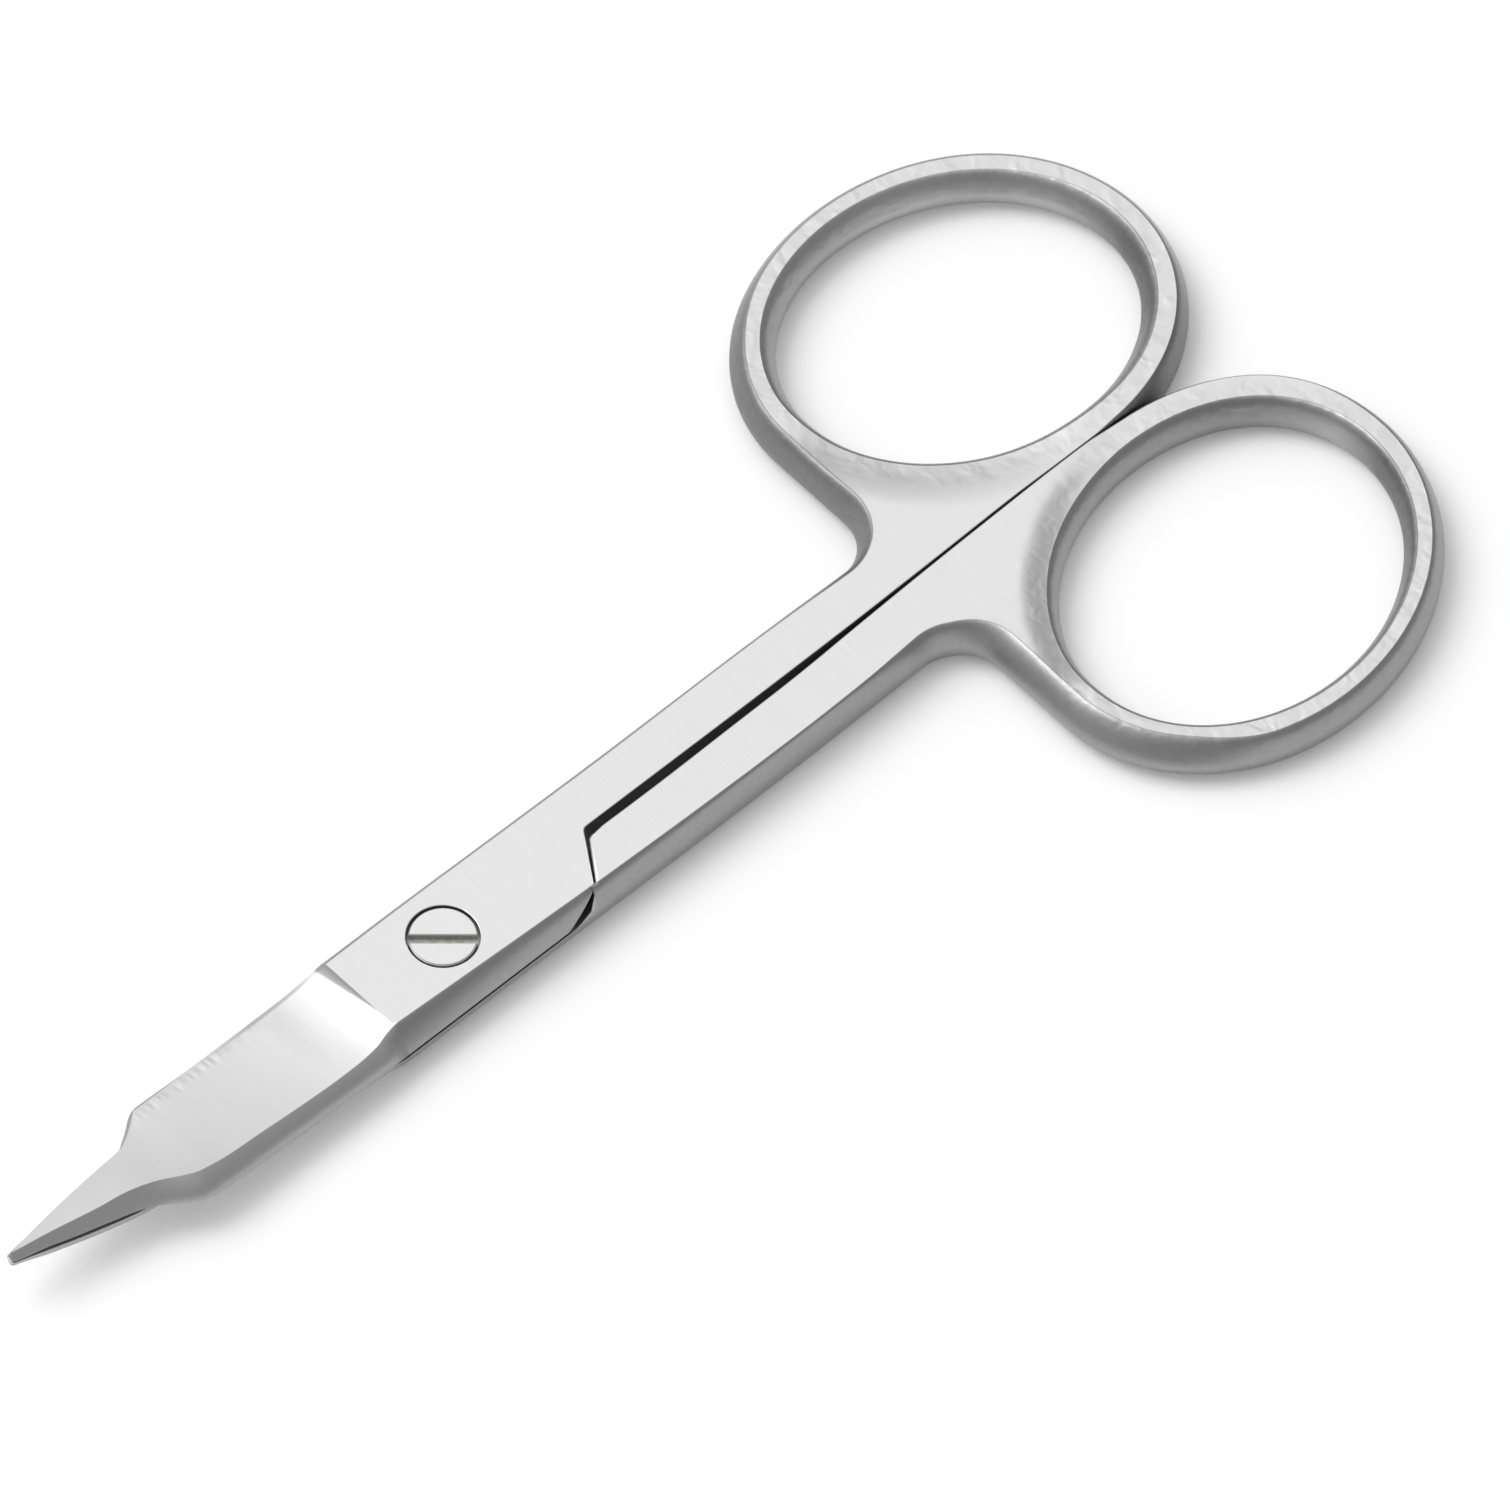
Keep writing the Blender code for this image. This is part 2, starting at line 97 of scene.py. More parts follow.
# each size of the upper half, and of the lower half
SIZES = {
    "layer": (1, -1),
    "ring_centre": ((-46.7, 10.53), (-46.53, 10.41)), "ring_half": ((12.553, 10.616), (12.732, 10.689)),
    "hole_centre": ((-46.8, 10.69), (-46.69, 10.455)), "hole_half": ((10.042, 8.178), (10.281, 8.466)),
    "throat": (2.9, 2.7),
    # towards which turn ring and hole are fullest, and by how much
    "swell_turn": (math.radians(120), math.radians(204)),
    "ring_swell": (0.22, 0.3), "hole_swell": (0.04, 0.26),
    # how much walls lean in: around the ring, and in the hole
    "ring_front_bulge": (0.78, 1.15), "inner_bulge": (0.63, 0.28), "hole_far_bulge": (0.82, 0.65),
    # how far from the hole the web begins to fall, and where it has fallen
    "web_fall": ((3.6, 0.3), (2.2, 0.2)),
    # the beak: its side shift, a fuller and thicker edge, a leaner foot
    "tip_shift": (0.2, -0.2), "edge_extra": (0.0, 0.1), "edge_thicker": (0.0, 0.14),
    "foot_trim": (0.0, 0.65), "foot_back": (0.1, 0.0),
    # how dull the skin is and how much painted shade darkens it, from 0 to 1, and around the hole by turn
    # in degrees, darker or lighter by turn as painted shade
    "throat_skin": (0.95, 0.74), "ring_skin": (0.55, 0.74),
    "hole_skin": (
        ((0, 45, 75, 97, 119, 147, 165, 180, 205, 220, 245, 360),
         (0.7, 0.64, 0.6, 0.53, 0.62, 0.57, 0.8, 1.0, 1.0, 0.85, 0.72, 0.7)),
        ((0, 100, 125, 160, 172, 184, 192, 211, 235, 278, 360),
         (0.76, 0.8, 0.95, 1.0, 0.78, 0.58, 0.66, 0.8, 0.76, 0.71, 0.76)),
    ),
    # along X: the shank's outer side, how much it leans in, and the slot's edge
    "side": (
        ((-40, -12, -5, 0, 6), (3.3, 3.3, 3.37, 3.45, 3.5)),
        ((-40, -30, -25, -20, -15, -10, -5, 6), (3.48, 3.48, 3.48, 3.55, 3.6, 3.6, 3.6, 3.6)),
    ),
    "bulge": (
        ((-34, -31, -28, -12, -5, 0, 6), (0.75, 0.66, 0.55, 0.53, 0.52, 0.54, 0.6)),
        ((-34, -32, -30, -28, -25, -20, -15, -10, -5, 6),
         (0.78, 0.7, 0.58, 0.45, 0.36, 0.4, 0.5, 0.6, 0.72, 0.9)),
    ),
    "slot": (
        ((-52, -45, -40, -35, -30, -25, -10), (0.36, 0.33, 0.3, 0.2, 0.11, 0.07, 0.07)),
        ((-52, -45, -40, -35, -30, -25, -20, -15, -10),
         (-0.33, -0.3, -0.2, -0.07, 0.11, 0.32, 0.39, 0.45, 0.43)),
    ),
}
UPPER, LOWER = (
    SimpleNamespace(**{name: both[half] for name, both in SIZES.items()}) for half in (0, 1)
)
print("sizes that differ:", sum(upper != lower for upper, lower in SIZES.values()))

# %% [markdown]
# ## Levels of the side wall
#
# The sides of the forgings are rounded, and then the flats were ground: a wall stands
# almost upright at mid height, leans in more and more towards both faces, and meets
# them in a crisp edge. A Bevel modifier would round both sides of an edge alike, so a
# wall is made of levels instead, and each level has its height and its inset. Where a
# wall was sawn, as along the slot, it is upright with a broken edge.

# %% Heights and insets
EDGE_BREAK, SUPPORT = 0.035, 0.05
ROUND_POWER, LEAN_POWER = 3.0, 1.3
BROW_POWER, BROW_SHARE, BROW_MOST = 8.0, 0.25, 0.16
RISES = np.array([1, 0.985, 0.955, 0.91, 0.85, 0.77, 0.67, 0.55, 0.4, 0.22, HALF_GAP / MID])
OWN_SHARES = (MID * RISES - HALF_GAP) / (MID - HALF_GAP)
OTHER_SHARES = (MID * np.concatenate([-RISES[:-3:-1], [0], RISES[-2::-1]]) + HALF_GAP) / (MID + HALF_GAP)
OTHER_SHARES = OTHER_SHARES[OTHER_SHARES >= -1e-9]


def thickness_at(x):
    """The forging tapers evenly from the pivot to the rings."""
    return PIVOT_THICKNESS + (RING_THICKNESS - PIVOT_THICKNESS) * np.asarray(x) / HANDLE_BACK


def rounded_inset(z, x, bulge):
    """How far a forged wall lies inside its widest outline at height z."""
    half = thickness_at(x) / 2
    rise = np.clip(np.abs(z - half) / half, 0, 1)
    brow = np.minimum(BROW_SHARE * bulge, BROW_MOST)
    above = (bulge - brow) * rise**LEAN_POWER + brow * rise**BROW_POWER
    return np.where(z > half, above, bulge * rise**ROUND_POWER) + EDGE_BREAK * smooth(rise, 0.975, 1.0)


def upright_inset(z, x):
    """The broken edge of a sawn wall."""
    thick = thickness_at(x)
    depth = np.clip(np.minimum(z, thick - z), 0, 2 * EDGE_BREAK)
    return EDGE_BREAK * (1 - depth / (2 * EDGE_BREAK)) ** 2


print("levels:", len(OWN_SHARES), "and", len(OTHER_SHARES))

# %% [markdown]
# ## The outline of a handle
#
# From the plate the outline runs back along the shank, turns up in the throat, goes
# round the finger ring and comes back along a straight line to the plate's far side.
# The slot that parts the two shanks cuts that line away. The ring is a leaning oval.
# Curves drawn by hand would do, but straights, arcs and ovals have sizes to change.

# %% Oval and corner
SWELL_POWER = 5


def oval(half, turn, centre):
    """Points and outward normals of an oval that leans with the ring."""
    along, across = half[0] * np.cos(turn), half[1] * np.sin(turn)
    n_along, n_across = np.cos(turn) / half[0], np.sin(turn) / half[1]
    size = np.hypot(n_along, n_across)
    n_along, n_across = n_along / size, n_across / size
    c, s = math.cos(RING_TILT), math.sin(RING_TILT)
    points = np.stack([centre[0] + along * c - across * s, centre[1] + along * s + across * c], -1)
    return points, np.stack([n_along * c - n_across * s, n_along * s + n_across * c], -1)


def turn_facing(x, y, half):
    """The turn at which the oval runs along the direction x, y."""
    along = x * math.cos(RING_TILT) + y * math.sin(RING_TILT)
    across = -x * math.sin(RING_TILT) + y * math.cos(RING_TILT)
    return math.atan2(-along / half[0], across / half[1])


def swelling(turn, middle):
    """1 where a hand-forged ring is fullest, and 0 a quarter turn to either side."""
    return np.clip(np.cos(turn - middle), 0, 1) ** SWELL_POWER


def hole_distance(points, half, centre):
    """Roughly how far a point lies outside the finger hole's widest outline."""
    c, s = math.cos(RING_TILT), math.sin(RING_TILT)
    x, y = points[..., 0] - centre[0], points[..., 1] - centre[1]
    along, across = x * c + y * s, -x * s + y * c
    reach = np.hypot(along / half[0], across / half[1])
    return (reach - 1) * np.hypot(along, across) / np.maximum(reach, 1e-6)


def leaving_turn(half, centre):
    """Where the outline leaves the ring for a straight run to the plate's far side."""
    slope = 0
    for _ in range(8):
        turn = turn_facing(1, -slope, half)
        x, y = oval(half, np.array(turn), centre)[0]
        slope = (y + PLATE_FAR) / (STEP_INNER - x)
    return turn


def corner(before, at, after, radius, steps):
    """The points of an arc that rounds the corner of a plan outline."""
    before, at, after = map(np.array, (before, at, after))
    first = (at - before) / np.linalg.norm(at - before)
    last = (after - at) / np.linalg.norm(after - at)
    bend = math.atan2(first[0] * last[1] - first[1] * last[0], first @ last)
    normal = np.array([first[1], -first[0]]) * (1 if bend > 0 else -1)
    start = at - first * radius * math.tan(abs(bend) / 2)
    centre = start - radius * normal
    turns = np.linspace(0, bend, steps + 1)
    c, s = np.cos(turns), np.sin(turns)
    return centre + radius * np.stack([normal[0] * c - normal[1] * s, normal[0] * s + normal[1] * c], -1)


turn = leaving_turn(UPPER.ring_half, UPPER.ring_centre)
print("the shank leaves the ring at", round(math.degrees(turn), 1), "degrees")

# %% [markdown]
# ## The blade's sections
#
# The blade is ground on a wheel: from the crease its top falls away in a short ramp,
# and from there it slopes from a thick spine to a thin cutting edge. The outline has
# the shoulder, the notch and the beak of cuticle scissors. Sculpting could give such a
# shape, but a ground blade is a row of plain sections, so functions of X describe it:
# the reach of its cutting edge, of its spine's top edge and of its spine's foot.

# %% Blade outline and thickness
SHOULDER, NOTCH, TIP = 19.0, 21.5, 30.5
SPINE_TURN, TIP_ROUND = 18.7, 0.25
GRIND_RAMP, RAMP_START, RAMP_TAIL, START_SHARE = 11.0, 0.72, 3.4, 0.6
CURVE_START, CURVE_RADIUS = 8.0, 150.0


def rise_at(radius):
    """How far the mating surface has curved up at a radius from the screw."""
    run = np.maximum(radius - CURVE_START, 0)
    return CURVE_RADIUS - np.sqrt(CURVE_RADIUS**2 - run**2)


def ground_off(x):
    """The share of the ramp's drop that the wheel has taken off: steep, then a long tail."""
    run = x - CREASE
    left = START_SHARE * math.exp(-run / RAMP_START) + (1 - START_SHARE) * math.exp(-run / RAMP_TAIL)
    return 1 - left * max(1 - run / GRIND_RAMP, 0)


def edge_reach(x):
    """From the middle to the cutting edge: straight, then the notch, then the beak."""
    shoulder, notch = 3.29, 1.79
    if x <= SHOULDER:
        return through(x, (5.7, 6.6, 9.2, 14.5, 19.0), (3.5, 3.48, 3.4, 3.38, shoulder))
    if x <= NOTCH:
        return notch + (shoulder - notch) * (1 - (x - SHOULDER) / (NOTCH - SHOULDER)) ** 1.32
    stations = (21.5, 22.6, 24.9, 27.1, 28.3, 29.4, 30.5)
    return through(x, stations, (notch, 1.645, 1.29, 0.87, 0.62, 0.37, 0.14))


def spine_reach(x):
    """From the middle to the top edge of the spine."""
    stations = (5.7, 6.2, 6.7, 7.6, 9.5, 12, 15, 18.7, 19.5, 20.2, 21.3, 22.9, 25.1, 27.3, 29.5, 30.5)
    values = (2.43, 2.48, 2.58, 2.7, 2.76, 2.71, 2.6, 2.44, 2.3, 1.98, 1.4, 0.91, 0.66, 0.33, 0.05, -0.08)
    return through(x, stations, values)


def foot_reach(x):
    """From the middle to the foot of the spine."""
    stations = (5.7, 10, 15, 18.7, 19.5, 20.2, 20.6, 21.2, 21.7, 22.8, 24.6, 26.9, 28.3, 30.5)
    values = (3.62, 3.57, 3.52, 3.51, 3.46, 3.24, 3.0, 2.6, 2.31, 1.88, 1.48, 1.05, 0.75, 0.32)
    return through(x, stations, values)


def ground_thickness(x, y):
    """The wheel leaves one plane, out of which the notch and the beak are then cut."""
    thin = through(x, (5.7, 19, 30.5), (0.2, 0.22, 0.14))
    thick = through(x, (5.7, 12, 19, 22, 25, 28, 30.5), (0.95, 1.02, 1.12, 1.15, 1.0, 0.72, 0.48))
    edge, spine = edge_reach(min(x, SHOULDER)), spine_reach(min(x, SPINE_TURN))
    return thin + (thick - thin) * (edge - y) / (edge + spine)


# sections lie closest on the steep start of the ramp and around the notch
STEEP, RAMP_REACH, AROUND = 1.0, 7.0, 0.3
STATIONS = np.concatenate([
    CREASE + np.concatenate([
        [0.015, 0.04, 0.08, 0.12], np.arange(0.17, STEEP, 0.06), np.arange(STEEP, RAMP_REACH, 0.2),
    ]),
    np.linspace(CREASE + RAMP_REACH, SHOULDER - AROUND, 60),
    np.linspace(SHOULDER - AROUND, NOTCH + AROUND, 44)[1:],
    np.linspace(NOTCH + AROUND, TIP - TIP_ROUND, 60)[1:],
    TIP - TIP_ROUND * np.cos(np.linspace(0, math.pi / 2, 8))[1:],
])
print("blade sections:", len(STATIONS))

# %% [markdown]
# ## From outlines to one closed surface
#
# A half has two layers. Its own layer holds the plate and the blade. The other layer
# is only the shank and ring, behind the step. Two solids joined by a Boolean would
# leave thin faces and broken shading at the seam. Here both layers share the outline
# of the shank and the ring, and the flat faces are filled with triangles that keep to
# the outline and its holes, so that the half is one closed surface from the start.

# %% A builder that collects points and faces
INSIDE_ONLY = 1  # the fill's option for triangles inside the outline alone


def inside(points, loop):
    """Which points lie inside a closed loop."""
    found = np.zeros(len(points), bool)
    x, y = points[:, 0], points[:, 1]
    for (x0, y0), (x1, y1) in zip(loop, np.roll(loop, -1, 0)):
        crosses = (y0 > y) != (y1 > y)
        if crosses.any():
            at = x0 + (y[crosses] - y0) * (x1 - x0) / (y1 - y0)
            found[crosses] ^= x[crosses] < at
    return found


class Surface:
    """Points with their finish, which carries painted shade too, and faces, of one closed piece."""

    def __init__(self):
        self.points, self.wall, self.faces, self.crisp = [], [], [], []

    def add(self, points, wall=0.0):
        """Adds points and returns their numbers."""
        points = np.asarray(points, float).reshape(-1, 3)
        first = len(self.points)
        self.points.extend(points)
        self.wall.extend(np.broadcast_to(np.asarray(wall, float), len(points)))
        return list(range(first, first + len(points)))

    def flat(self, numbers):
        """Points by number, seen from above."""
        return np.array([self.points[i][:2] for i in numbers])

    def strip(self, rows, closed=False):
        """Quads between rows of points."""
        for one, two in zip(rows, rows[1:]):
            for i in range(len(one) if closed else len(one) - 1):
                j = (i + 1) % len(one)
                self.faces.append((one[i], one[j], two[j], two[i]))

    def fill(self, outer, holes, extra=()):
        """Fills a flat face with triangles inside outer and outside the holes."""
        loops = [outer, *holes]
        numbers = [i for loop in loops for i in loop] + list(extra)
        edges, first = [], 0
        for loop in loops:
            count = len(loop)
            edges += [(first + i, first + (i + 1) % count) for i in range(count)]
            first += count
        plan = [Vector(p) for p in self.flat(numbers)]
        result = delaunay_2d_cdt(plan, edges, [], INSIDE_ONLY, 1e-7)
        back = [numbers[old[0]] for old in result[3]]
        middles = np.array([np.mean([result[0][i] for i in face], 0) for face in result[2]])
        keep = np.ones(len(middles), bool)
        for hole in holes:
            keep &= ~inside(middles, self.flat(hole))
        self.faces += [tuple(back[i] for i in face) for face, ok in zip(result[2], keep) if ok]


# %% Outline of shank and ring
# how dull and dark the walls are, 0 to 1: tumbled skin, and painted shade for the dim surroundings that
# the walls mirror
SHANK_SKIN_AND_SHADE, PLATE_SKIN_AND_SHADE, SIDE_SKIN_AND_SHADE = 0.74, 0.72, 0.52
RING_BULGE, BACK_SHORT = 0.63, 0.9
SHANK_STEPS, THROAT_STEPS, RISE_STEPS, RING_STEPS, BACK_STEPS, HOLE_STEPS = 80, 25, 8, 420, 110, 360
# pairs between which a bulge or a finish changes, along X if not said otherwise
RING_BEGINS, RING_FRONT, THROAT_BEGINS, THROAT_ENDS = (-32.6, -34.2), (-41, -36), (-28.5, -32), (-44, -36)
THROAT_SIDE_Y, INNER_SIDE_Y, INNER_SIDE = (2, 3), (9, 1.5), (-38, -42)


def along(start, end, count, last=False):
    """Evenly spaced points from start towards end."""
    shares = np.linspace(0, 1, count + 1)[: count + (1 if last else 0)]
    start, end = np.array(start, float), np.array(end, float)
    return start + (end - start) * shares[:, None]


def outward(points):
    """Normals of a plan outline that runs with its piece on the left-hand side."""
    way = np.gradient(points, axis=0)
    normals = np.stack([way[:, 1], -way[:, 0]], -1)
    return normals / np.linalg.norm(normals, axis=1)[:, None]


def shared_outline(size):
    """Shank side, throat, ring and slot line: points, normals, bulge, and finish with painted shade."""
    half, centre = size.ring_half, size.ring_centre
    first, last = turn_facing(0, 1, half), leaving_turn(half, centre)
    last += math.tau if last < first else 0
    front_x, ring_y = oval(half, np.array(first), centre)[0]
    throat_radius = size.throat
    throat_x = front_x + throat_radius
    throat_y = through(throat_x, *size.side)
    shank_x = STEP_INNER - STEP_GAP + STEP_SLOPE * through(SHANK_FRONT, *size.side)
    xs = np.linspace(shank_x, throat_x, SHANK_STEPS, endpoint=False)
    shank = np.stack([xs, through(xs, *size.side)], -1)
    turns = np.linspace(0, math.pi / 2, THROAT_STEPS)[:-1]
    throat = np.stack([
        throat_x - throat_radius * np.sin(turns),
        throat_y + throat_radius * (1 - np.cos(turns)),
    ], -1)
    rise = along((front_x, throat_y + throat_radius), (front_x, ring_y), RISE_STEPS)
    turns = np.linspace(first, last, RING_STEPS)
    ring, ring_normals = oval(half, turns, centre)
    ring += ring_normals * (size.ring_swell * swelling(turns, size.swell_turn))[:, None]
    leave, far = ring[-1], np.array([STEP_INNER, -PLATE_FAR])
    share = (STEP_INNER - BACK_SHORT - leave[0]) / (far[0] - leave[0])
    back = along(leave, leave + (far - leave) * share, BACK_STEPS, last=True)[1:]
    points = np.concatenate([shank, throat, rise, ring, back])
    normals = outward(points)
    first_ring = len(shank) + len(throat) + len(rise)
    normals[first_ring : first_ring + len(ring)] = ring_normals
    x, y = points.T
    bulge = through(x, *size.bulge)
    on_ring = smooth(x, *RING_BEGINS)
    front = smooth(x, *RING_FRONT)
    ring_bulge = RING_BULGE + (size.ring_front_bulge - RING_BULGE) * front
    between = smooth(y, *INNER_SIDE_Y) * smooth(x, *INNER_SIDE)
    ring_bulge += (size.inner_bulge - RING_BULGE) * between
    in_throat = smooth(x, *THROAT_BEGINS) * smooth(x, *THROAT_ENDS) * smooth(y, *THROAT_SIDE_Y)
    # the ring's and the throat's values: tumbled skin, and painted shade that dims the light they would
    # mirror
    skin_and_shade = SHANK_SKIN_AND_SHADE + (size.ring_skin - SHANK_SKIN_AND_SHADE) * on_ring
    skin_and_shade += (size.throat_skin - skin_and_shade) * np.maximum(in_throat, between)
    return points, normals, bulge * (1 - on_ring) + ring_bulge * on_ring, skin_and_shade


for size in (UPPER, LOWER):
    print("shared outline points:", len(shared_outline(size)[0]))

# %% [markdown]
# ## One forged half: its walls
#
# Next come the walls of one half. An outline could be extruded, but these sides lean,
# swell and were sawn in places. So a wall is a set of rows of points, one for each
# level, and each row follows the same outline at its own inset. The last row lies a
# hair inside the flat's edge: it holds the flat's shading still, and the edge stays
# crisp.

# %% A half and the rows of its walls
SLOT_ENDS = STEP_INNER - 0.5
HOLE_FAR_Y, HOLE_FAR = (8, 14), (-46, -53)


class Half(Surface):
    """One forged half while it is built, drawn with its ring on the +Y side."""

    def __init__(self, size):
        super().__init__()
        self.size, self.layer = size, size.layer
        self.mating = MID + self.layer * HALF_GAP

    def height(self, x, share, own):
        """Height of a level, from the mating surface to the layer's flat face."""
        up = (self.layer > 0) == own
        outer = thickness_at(x) if up else np.zeros(np.shape(x))
        return self.mating + (outer - self.mating) * share

    def slot_at(self, x):
        """The slot's edge along the shank."""
        return through(x, *self.size.slot)

    def level(self, flat, z, wall=0.0):
        """Adds plan points at one height, or each at its own."""
        return self.add(np.column_stack([flat, np.broadcast_to(z, len(flat))]), wall)

    def wall_rows(self, outline, own, shares):
        """Rows of points of a wall, from the mating level to just inside the flat."""
        points, normals, bulge, skin_and_shade = outline
        rows = []
        for share, extra in with_support(shares):
            z = self.height(points[:, 0], share, own)
            inset = rounded_inset(z, points[:, 0], bulge) + extra
            flat = points - normals * inset[:, None]
            limit = self.slot_at(flat[:, 0]) + upright_inset(z, flat[:, 0]) + extra
            near_slot = (flat[:, 0] < SLOT_ENDS) & (flat[:, 1] < limit)
            flat[near_slot, 1] = limit[near_slot]
            rows.append(self.level(flat, z, 0 if extra else skin_and_shade))
        return rows

    def both_layers(self, outline):
        """The rows of a wall that runs through both layers, from the mating level."""
        own = self.wall_rows(outline, True, OWN_SHARES[::-1])
        return own, [own[0], *self.wall_rows(outline, False, OTHER_SHARES[1:])]


def with_support(shares):
    """Each level with no further inset, and then the support row."""
    return [*((share, 0.0) for share in shares), (1.0, SUPPORT)]


def add_shared_walls(half):
    """Shank, throat, ring and slot line, and then the finger hole."""
    size = half.size
    half.shared = shared_outline(size)
    half.own_rows, half.other_rows = half.both_layers(half.shared)
    turns = np.linspace(0, math.tau, HOLE_STEPS, endpoint=False)
    points, normals = oval(size.hole_half, turns, size.hole_centre)
    points += normals * (size.hole_swell * swelling(turns, size.swell_turn))[:, None]
    far = np.maximum(smooth(points[:, 1], *HOLE_FAR_Y), smooth(points[:, 0], *HOLE_FAR))
    bulge = RING_BULGE + (size.hole_far_bulge - RING_BULGE) * far
    # darker or lighter by turn around the hole: painted shade over the tumbled skin
    skin_and_shade = np.clip(through(np.degrees(turns), *size.hole_skin), 0, 1)
    half.hole_own, half.hole_other = half.both_layers((points, -normals, bulge, skin_and_shade))


print("rows in a wall:", len(OWN_SHARES) + 1, "and", len(OTHER_SHARES) + 1)

# %% [markdown]
# ## The step behind the plate
#
# Behind the screw the halves pass each other in a step: the plate of one half ends
# where the full shank of the other begins. Both end walls were milled, so they are
# straight, but they lean, and their corners are rounded. They are drawn corner by
# corner on each level, because a lean and a round corner then come out together.

# %% Plate walls and front wall
PLATE_BULGE = ((-10, -5, 0, 5.7), (0.69, 0.79, 0.97, 1.19))
PLATE_LEAN, PLATE_LEAN_POWER, FRONT_LEAN, FRONT_LEAN_POWER = 1.7, 1.3, 0.65, 0.7
FRONT_FILLET, FILLET_SHARE, FRONT_BREAK, BREAK_POWER = 1.1, 0.3, 0.13, 1.5
PLATE_CORNER_Y, SIDE_BLEND, CLEAR = PLATE_FAR - 0.6, 3, 0.01
INNER_RADIUS, OUTER_RADIUS, RADIUS_PER_LEAN, FRONT_RADIUS = 0.45, 0.1, 0.5, 0.55
PLATE_STEPS, WALL_STEPS, ARC_STEPS, FRONT_ARC_STEPS = 40, 14, 8, 10
PLATE_BEGINS = (-8, -2)


def add_plate_walls(half):
    """The plate's near side, and the step with the plate's far side behind it."""
    points = half.shared[0]
    xs = np.linspace(CREASE, points[0][0], PLATE_STEPS, endpoint=False)
    near = np.stack([xs, through(xs, *half.size.side)], -1)
    # the plate's near wall: skin with painted shade, changing from the shank's value
    skin_and_shade = SHANK_SKIN_AND_SHADE + (PLATE_SKIN_AND_SHADE - SHANK_SKIN_AND_SHADE) * smooth(xs, *PLATE_BEGINS)
    outline = (near, outward(near), through(xs, *half.size.bulge), skin_and_shade)
    half.near_rows = half.wall_rows(outline, True, OWN_SHARES[::-1])

    slot_y = half.slot_at(STEP_INNER)
    half.far_rows = []
    for share, extra in with_support(OWN_SHARES[::-1]):
        lean = PLATE_LEAN * (1 - share) ** PLATE_LEAN_POWER
        z = half.height(STEP_INNER, share, True)
        broken = upright_inset(z, STEP_INNER) + extra
        side_x = STEP_INNER + STEP_SLOPE * PLATE_CORNER_Y + lean
        side_y = -PLATE_FAR + rounded_inset(z, side_x, through(side_x, *PLATE_BULGE)) + extra
        bend = (STEP_INNER - STEP_SLOPE * slot_y + broken, slot_y + broken)
        outer = (STEP_INNER - STEP_SLOPE * side_y + lean + broken, side_y)
        inner_arc = corner((points[-1][0], slot_y + broken), bend, outer, INNER_RADIUS, ARC_STEPS)
        radius = OUTER_RADIUS + RADIUS_PER_LEAN * lean
        outer_arc = corner(inner_arc[-1], outer, (CREASE, side_y), radius, ARC_STEPS)
        wall = along(inner_arc[-1], outer_arc[0], WALL_STEPS)[1:]
        xs = np.linspace(outer_arc[-1][0], CREASE, PLATE_STEPS + 1)[1:]
        inset = rounded_inset(half.height(xs, share, True), xs, through(xs, *PLATE_BULGE)) + extra
        side = np.stack([xs, -PLATE_FAR + inset], -1)
        side[:, 1] += smooth(xs, xs[0] + SIDE_BLEND, xs[0]) * (side_y - side[0, 1])
        flat = np.concatenate([inner_arc, wall, outer_arc, side])
        z = half.height(flat[:, 0], share, True)
        half.far_rows.append(half.level(flat, z, 0 if extra else PLATE_SKIN_AND_SHADE))


def add_front_wall(half):
    """The front of the full-thickness shank, in the other layer."""
    size = half.size
    side, bulge = (through(SHANK_FRONT, *stations) for stations in (size.side, size.bulge))
    slot_y = half.slot_at(STEP_INNER)
    half.front_rows = []
    for share, extra in with_support(OTHER_SHARES):
        z = half.height(STEP_INNER, share, False)
        depth = min(z, thickness_at(STEP_INNER) - z)
        broken = FRONT_BREAK * max(0, 1 - depth / FRONT_BREAK) ** BREAK_POWER + extra
        side_y = side - rounded_inset(z, SHANK_FRONT, bulge) - extra - CLEAR
        wall_x = STEP_INNER - STEP_GAP - broken
        inner = (wall_x + STEP_SLOPE * (slot_y + broken), slot_y + broken)
        lean = FRONT_LEAN * (1 - share) ** FRONT_LEAN_POWER
        lean += FRONT_FILLET * max(0, 1 - share / FILLET_SHARE) ** 2
        outer = np.array([wall_x + STEP_SLOPE * side_y + lean, side_y])
        start = (half.shared[0][-1][0], slot_y + broken)
        rounded = corner(start, inner, outer, FRONT_RADIUS, FRONT_ARC_STEPS)
        flat = np.concatenate([rounded, along(rounded[-1], outer, WALL_STEPS)[1:], [outer]])
        # the front wall's broken edge stays bright, its face takes skin and painted shade
        skin_and_shade = 0 if depth < FRONT_BREAK else SIDE_SKIN_AND_SHADE
        half.front_rows.append(half.level(flat, half.height(flat[:, 0], share, False), skin_and_shade))


print("the step leans", PLATE_LEAN, "mm over the plate's thickness")

# %% [markdown]
# ## Flat faces and the screw's hole
#
# The flats were ground in one pass over both halves, so they are flat, apart from the
# web, which falls a little towards the finger hole. A flat could be one large polygon,
# but a polygon can't bend. The fill gets extra points on the web for that, and a row
# of points behind the crease, where the wheel left the fold soft.

# %% Join the walls and fill the faces
NECK_RADIUS, SEAT_RADIUS, SEAT_DEPTH = 1.18, 1.97, 0.8
ROUND_STEPS, TOP_STEPS, MATING_STEPS = 96, 24, 8
SOFT_STEPS, SOFT_BAND, SOFT_POINTS, SOFT_INSET = 7, 0.5, 14, 0.3
WEB_TURNS, WEB_DISTANCES, CLEAR_OF_SLOT, CLEAR_OF_EDGE = (-2.6, 1.7, 150), (0.75, 5.6, 0.16), 0.2, 0.1


